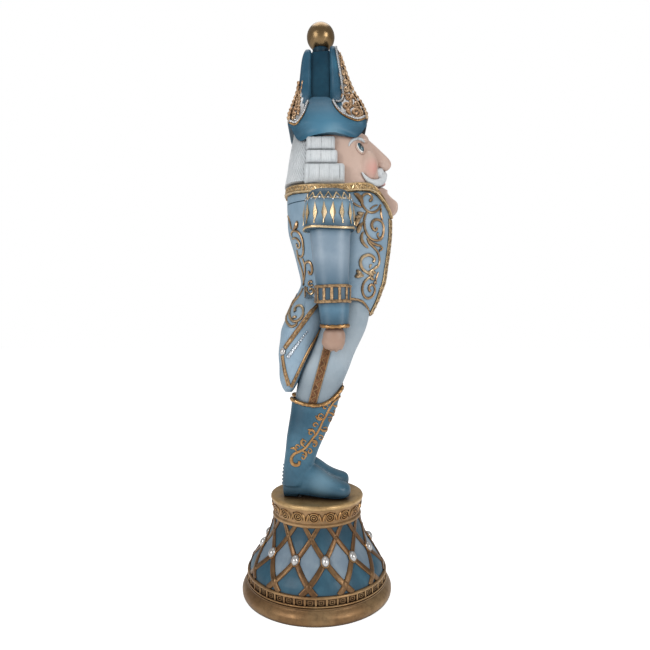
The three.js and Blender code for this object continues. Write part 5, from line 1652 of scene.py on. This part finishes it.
def tower():
    """The tower's core and its front and back flaps, each with its crest."""
    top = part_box("hat_crown")[1].z / MM
    core = [(-14, 1262), (33, 1262), (33, top - 8), (-14, top - 12)]
    path = rounded(core, 4, 5)
    make("tower_core", *loft([columns(path[:, 0], y, path[:, 1]) for y in np.linspace(-30, 30, 9)]), "navy",
         replaces=["hat_crown"])
    for name, outline, node_name, sign in (("front", FRONT_FLAP, "hat_front_flap", 1),
                                           ("back", BACK_FLAP, "hat_back_flap", -1)):
        rings = body_rings(outline, 0, 120, 4.0, 4, soft=3)
        verts, faces = loft(rings)
        panel = make(f"{name}_panel", verts, faces, "hat_blue", replaces=[node_name], angle=60)
        panel.data.materials.append(MAT["silver"])
        for face in panel.data.polygons:
            x, z = face.center.x / MM, face.center.z / MM
            ground = x > at(CORD, z)[0, 0] if sign > 0 else (z < 1352 and x < at(BACK_CORD, z)[0, 0])
            face.material_index = 1 if ground else 0
        tree = tree_of((verts, faces))
        crest(name, tree, sign, 124 if sign > 0 else -70)


def coil(u, v, radius, start, turns, half, count, inner, slim):
    """A crest scroll from its outer end inwards, as (u, v, half width)."""
    t = np.linspace(0, 1, count)
    a = math.radians(start) + t * turns * 2 * math.pi
    r = radius * ((1 - t) ** 0.8 * (1 - inner) + inner)
    return columns(u + r * np.cos(a), v + r * np.sin(a), half * (slim + 0.4 * np.sin(t * math.pi))).tolist()


# The crests' faces: tiers as (Z, distance from the middle, scroll radius), lines as (Y, Z, half width).
CREST_TIERS = ((1240, 52, 15), (1268, 40, 13), (1296, 30, 12), (1324, 23, 10.5), (1350, 21, 9.5),
               (1374, 20, 8.5), (1396, 19, 7.5))
CREST_BORDER = [(61, 1244, 3.0), (54, 1262, 3.0), (44, 1292, 2.8), (36, 1322, 2.6), (33, 1360, 2.6),
                (31, 1396, 2.4), (24, 1414, 2.2)]
CREST_SPINE = [[(0, 1247, 4), (0, 1262, 7), (0, 1278, 4.4)], [(0, 1282, 4), (0, 1304, 6.2), (0, 1326, 3.6)],
               [(0, 1332, 3.4), (0, 1352, 5.2), (0, 1372, 3)], [(0, 1378, 3), (0, 1394, 4.4), (0, 1410, 2.4)]]


def crest(name, tree, sign, x):
    """Copper scrollwork that covers the panel's face and stands out at its edges."""
    def yz(line):
        return [(x, y, z, w) for y, z, w in line]

    def curl(y, z, radius, start, turns, half=2.6):
        return yz(coil(y, z, radius, start, turns, half, int(abs(turns) * 16), 0.12, 0.8))

    def petal(y0, z0, y1, z1, half):
        return [(x, y, z, w) for y, _, z, w in leaf(y0, z0, y1, z1, half, 0.15)]

    lines = []
    top = 1420 if sign > 0 else 1340
    for z, wide, radius in CREST_TIERS:
        if z > top:
            break
        lines.append(curl(wide, z, radius, 200, 1.3))
        lines.append(curl(wide * 0.42, z - 8, radius * 0.8, -20, -1.25, 2.4))
        lines.append(petal(wide + radius * 0.7, z + 2, wide + radius * 1.1, z + 20, 3.6))
        lines.append(petal(wide * 0.7, z + 8, wide * 0.4, z + 26, 3.8))
        lines.append(petal(wide, z - 14, wide + radius, z - 20, 3.2))
    lines.append(yz([q for q in CREST_BORDER if q[1] < top]))
    bag = strokes(tree, lines, (-sign, 0, 0), lift=0.4, rise=1.2)
    half = bag.mirrored()
    middle = strokes(tree, [yz(q) for q in CREST_SPINE if q[-1][1] < top], (-sign, 0, 0), lift=0.4, rise=1.4)
    half.put(middle.verts, middle.faces)
    half.make(f"{name}_crest", "crest")
    pearls = Bag()
    for y, z in ((0, 1262), (0, 1318), (26, 1256), (-26, 1256), (0, 1364)):
        hit, n = onto(tree, [(x, y, z)], (-sign, 0, 0))
        if len(hit) and z < top:
            pearls.put(*dome(hit[0] + n[0] * 4, n[0], (0, 0, 1), 5.2, 5.2, 6.5, rings=7, sides=16))
    pearls.make(f"{name}_crest_pearls", "pearl")

    side_relief(name, tree, sign)


# The crests' sides: scrolls as (X, Z, radius, start, turns), leaves as (X, Z, X, Z, half width).
FRONT_CURLS = [(101, 1246, 13, 250, 1.3), (78, 1268, 11, 20, -1.3), (104, 1273, 11, 200, 1.2),
               (82, 1294, 10, 150, -1.25), (98, 1300, 9, 10, 1.2), (78, 1318, 8, 90, 1.2),
               (90, 1325, 7.5, 220, -1.2), (75, 1342, 7, 60, -1.2), (84, 1350, 5.5, 250, 1.1),
               (70, 1364, 6, 90, 1.2), (77, 1373, 4.6, 250, -1.0), (65, 1386, 5, 60, -1.1),
               (70, 1396, 3.6, 200, 1.0), (60, 1408, 4, 90, 1.1), (57, 1424, 3.2, 90, 1.0)]
FRONT_LEAVES = [(110, 1226, 122, 1250, 5.6), (88, 1238, 80, 1258, 5.4), (116, 1256, 117, 1280, 5.2),
                (92, 1262, 91, 1288, 5.0), (68, 1284, 74, 1310, 4.6), (108, 1288, 105, 1312, 4.6),
                (94, 1308, 93, 1334, 4.2), (70, 1312, 68, 1338, 3.8), (84, 1330, 83, 1356, 3.8),
                (66, 1346, 63, 1370, 3.2), (76, 1356, 73, 1380, 3.2), (62, 1378, 59, 1402, 2.8),
                (69, 1384, 64, 1408, 2.8)]
BACK_CURLS = [(-58, 1240, 9, 300, -1.2), (-50, 1260, 8, 20, 1.2), (-56, 1278, 7, 200, -1.2),
              (-47, 1292, 6.5, 20, 1.2), (-51, 1310, 5.5, 200, -1.1), (-47, 1326, 4, 20, 1.0)]
BACK_LEAVES = [(-64, 1224, -68, 1248, 4.8), (-46, 1238, -42, 1258, 4.0), (-63, 1254, -62, 1278, 4.4),
               (-44, 1266, -42, 1286, 3.6), (-57, 1282, -54, 1306, 4.0), (-45, 1298, -45, 1318, 3.2),
               (-50, 1314, -47, 1338, 3.2)]


def side_relief(name, tree, sign):
    """The crest's scrolls and leaves that turn the corner on to the sides of the flap."""
    y = 62.0

    def curl(x, z, radius, start, turns):
        rows = coil(x, z, radius, start, turns, 1.3 + radius * 0.19, max(10, int(abs(turns) * 18)), 0.14,
                    0.85)
        return [(u, y, v, w) for u, v, w in rows]

    curls, leaves = (FRONT_CURLS, FRONT_LEAVES) if sign > 0 else (BACK_CURLS, BACK_LEAVES)
    lines = [curl(*c) for c in curls]
    for x0, z0, x1, z1, half in leaves:
        lines.append([(x, y, z, w) for x, _, z, w in leaf(x0, z0, x1, z1, half, 0.15)])
    relief = strokes(tree, lines, (0, -1, 0), lift=0.3, rise=0.95, step=1.3)
    # Overlapping leaves up the corner make the crest's uneven outline.
    outline = FRONT_FLAP if sign > 0 else BACK_FLAP
    top = 1420 if sign > 0 else 1344
    heights = np.arange(1230 if sign > 0 else 1214, top, 3.0)
    rows = at(outline, heights)
    face = rows[:, 1] if sign > 0 else rows[:, 0]
    border = columns(face + sign * 0.5, rows[:, 2] - 5.0, heights)
    uneven = 1 + 0.30 * np.sin(heights * 0.47) + 0.15 * np.sin(heights * 1.1)
    thick = (4.6 - 2.0 * (heights - 1206) / 215) * uneven
    relief.put(*sweep(border, (sign * 0.7, 0.7, 0.0), thick, thick, sides=12, sink=1.0))
    inner = border - np.array([sign * 10.0, 0, 0]) + np.array([0, 4.0, 0])
    relief.put(*sweep(inner, (0.1, 1.0, 0.0), thick * 0.45, thick * 0.5, sides=8, sink=1.0))
    both = relief.mirrored()
    both.make(f"{name}_crest_sides", "crest")
    beads = Bag()
    for x, z in (((112, 1262), (104, 1286), (93, 1312)) if sign > 0 else ((-60, 1262),)):
        hit, n = onto(tree, [(x, y, z)], (0, -1, 0))
        if len(hit):
            beads.put(*dome(hit[0] + n[0] * 2.5, n[0], (0, 0, 1), 4.4, 4.4, 4.6, rings=7, sides=16))
    beads.mirrored().make(f"{name}_crest_beads", "silver")


def cord():
    """The silver rope up each side of the tower."""
    silver = Bag()
    for side in (-1, 1):
        line = [(50, 41, 1432), (55, 42.5, 1400), (62, 43, 1360), (66, 44, 1330), (68.5, 49, 1304),
                (66, 57, 1288), (58, 60, 1281), (49, 60, 1282)]
        path = curve([(x, side * (y + 1.5), z) for x, y, z in line], 1.5)
        silver.put(*sweep(path, (0.2, side * 1.0, 0.1), 3.0 + 0.4 * np.sin(np.arange(len(path)) * 1.6), 3.4,
                          sides=10, sink=1.0))
        back = [(-31, 43, 1300), (-36, 46, 1284), (-38, 53, 1268), (-32, 58, 1262), (-30, 62, 1250)]
        path = curve([(x, side * (y + 1.5), z) for x, y, z in back], 1.5)
        silver.put(*sweep(path, (-0.2, side * 1.0, 0.1), 2.4, 2.8, sides=10, sink=1.0))
    silver.make("tower_rope", "silver")


def finial():
    """The ball on its cup."""
    low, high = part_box("finial_ball")
    x, z, r = (low.x + high.x) / 2 / MM, (low.z + high.z) / 2 / MM, (high.z - low.z) / 2 / MM
    tilt = np.linspace(-math.pi / 2 + 0.01, math.pi / 2 - 0.01, 72)
    turn = around(96)
    swell = r * (1 - 0.004 * np.exp(-((tilt) / 0.02) ** 2))
    rings = [columns(x + s * math.cos(t) * np.cos(turn), s * math.cos(t) * np.sin(turn), z + s * math.sin(t))
             for t, s in zip(tilt, swell)]
    make("finial", *loft(rings), "ball_gold", replaces=["finial_ball"], angle=80)
    cup = rounded([(2, 1426), (18, 1426), (21, 1432), (22.5, 1443), (17, 1449), (2, 1446)], 2, 4)
    verts, faces = revolve(cup, 72)
    make("finial_cup", verts + (x, 0, 0), faces, "navy", replaces=["finial_stud"])


brim()
tower()
cord()
finial()


# ---------------------------------------------------------------- small fittings
def bottom_board():
    low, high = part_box("base_bottom_plate")
    bottom, top, r = low.z / MM, high.z / MM, high.x / MM
    board = [(1.0, bottom), (r - 1.5, bottom), (r, bottom + 1.2), (r, top - 1.0), (r - 1.2, top), (1.0, top)]
    make("bottom_board", *revolve(board, 128), "board", replaces=["base_bottom_plate"])


def bolts():
    """The bolts up into the boots, with their threads as rings."""
    for side in ("left", "right"):
        low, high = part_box(f"boot_bolt_{side}")
        low, high = low / MM, high / MM
        x, y, r = (low.x + high.x) / 2, (low.y + high.y) / 2, (high.x - low.x) / 2
        profile = [(0.6, low.z), (r - 1, low.z), (r, low.z + 1)]
        for z in np.arange(low.z + 2, high.z - 2, 1.6):
            profile += [(r, z), (r - 0.7, z + 0.8)]
        profile += [(r - 1.5, high.z), (0.6, high.z)]
        verts, faces = revolve(profile, 40)
        make(f"bolt_{side}", verts + (x, y, 0), faces, "steel", replaces=[f"boot_bolt_{side}"])


def jaw_pin():
    low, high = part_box("jaw_pin")
    low, high = low / MM, high / MM
    x, z, r = (low.x + high.x) / 2, (low.z + high.z) / 2, (high.x - low.x) / 2
    turn = around(40)
    rings = []
    for y, size in ((low.y, 0.75), (low.y + 0.5, 0.93), (low.y + 1.2, 1), (high.y - 1.2, 1),
                    (high.y - 0.5, 0.93), (high.y, 0.75)):
        rings.append(columns(x + r * size * np.cos(turn), y, z + r * size * np.sin(turn)))
    make("jaw_pin_turned", *loft(rings), "steel", replaces=["jaw_pin"])


bottom_board()
bolts()
jaw_pin()


# ---------------------------------------------------------------- room, light and camera
# Metres, as Blender's own lengths are; the camera stands opposite EYE, on the figure's -Y side.
FLOOR_HALF, FLOOR_Z = 14, -0.0005
# How brightly the floor shows to the camera, and the share of it that reflections see.
FLOOR_GLOW, GLOSSY_SHARE = 0.74, 0.45
WORLD_LIGHT = 0.36
AIM = Vector((0.02, 0, 0.75))
CAMERA_AT = (0.0215, -1.438, 0.705)
# Name, place, width and height, watts.
SOFTBOXES = [("key_left", (-1.9, -2.1, 1.5), (1.1, 1.5), 34), ("key_right", (2.0, -2.1, 1.4), (1.1, 1.5), 34),
             ("top", (0.0, 0.3, 3.2), (1.6, 1.6), 22)]


def room():
    """A pale floor that glows for the camera, a white world, three soft boxes and the camera."""
    corners = [(x * FLOOR_HALF, y * FLOOR_HALF, FLOOR_Z) for x, y in ((-1, -1), (1, -1), (1, 1), (-1, 1))]
    obj = placed("floor", corners, [(0, 1, 2, 3)])
    mat, tree, shader = new_material("pale_floor")
    tint = ramp(tree, noise(tree, 3, 2), 0.3, 0.7)
    tree.links.new(mix(tree, tint, (0.93, 0.93, 0.93), (0.95, 0.95, 0.95)), shader.inputs["Base Color"])
    shader.inputs["Roughness"].default_value = 0.9
    shader.inputs["Emission Color"].default_value = (1, 1, 1, 1)
    path = node(tree, "ShaderNodeLightPath")
    rays = node(tree, "ShaderNodeMath", {0: path.outputs["Is Glossy Ray"], 1: GLOSSY_SHARE,
                                         2: path.outputs["Is Camera Ray"]},
                operation="MULTIPLY_ADD").outputs[0]
    glow = node(tree, "ShaderNodeMapRange", {0: rays, 3: 0.0, 4: FLOOR_GLOW})
    tree.links.new(glow.outputs[0], shader.inputs["Emission Strength"])
    obj.data.materials.append(mat)
    world = bpy.data.worlds.new("studio")
    world.use_nodes = True
    background = world.node_tree.nodes["Background"]
    background.inputs[0].default_value = (1, 1, 1, 1)
    seen = node(world.node_tree, "ShaderNodeLightPath").outputs["Is Camera Ray"]
    level = node(world.node_tree, "ShaderNodeMapRange", {0: seen, 3: WORLD_LIGHT, 4: 1.0})
    world.node_tree.links.new(level.outputs[0], background.inputs[1])
    bpy.context.scene.world = world
    for name, place, size, power in SOFTBOXES:
        light = bpy.data.lights.new(name, "AREA")
        light.shape, light.size, light.size_y, light.energy = "RECTANGLE", size[0], size[1], power
        lamp = linked(name, light)
        lamp.location = place
        lamp.rotation_euler = (AIM - Vector(place)).to_track_quat("-Z", "Y").to_euler()
    lens = bpy.data.cameras.new("camera")
    lens.lens, lens.sensor_width = 29.6, 36
    cam = linked("camera", lens)
    cam.location = CAMERA_AT
    cam.rotation_euler = (math.pi / 2, 0, 0)
    bpy.context.scene.camera = cam
    bpy.context.scene.view_settings.view_transform = "Standard"


room()
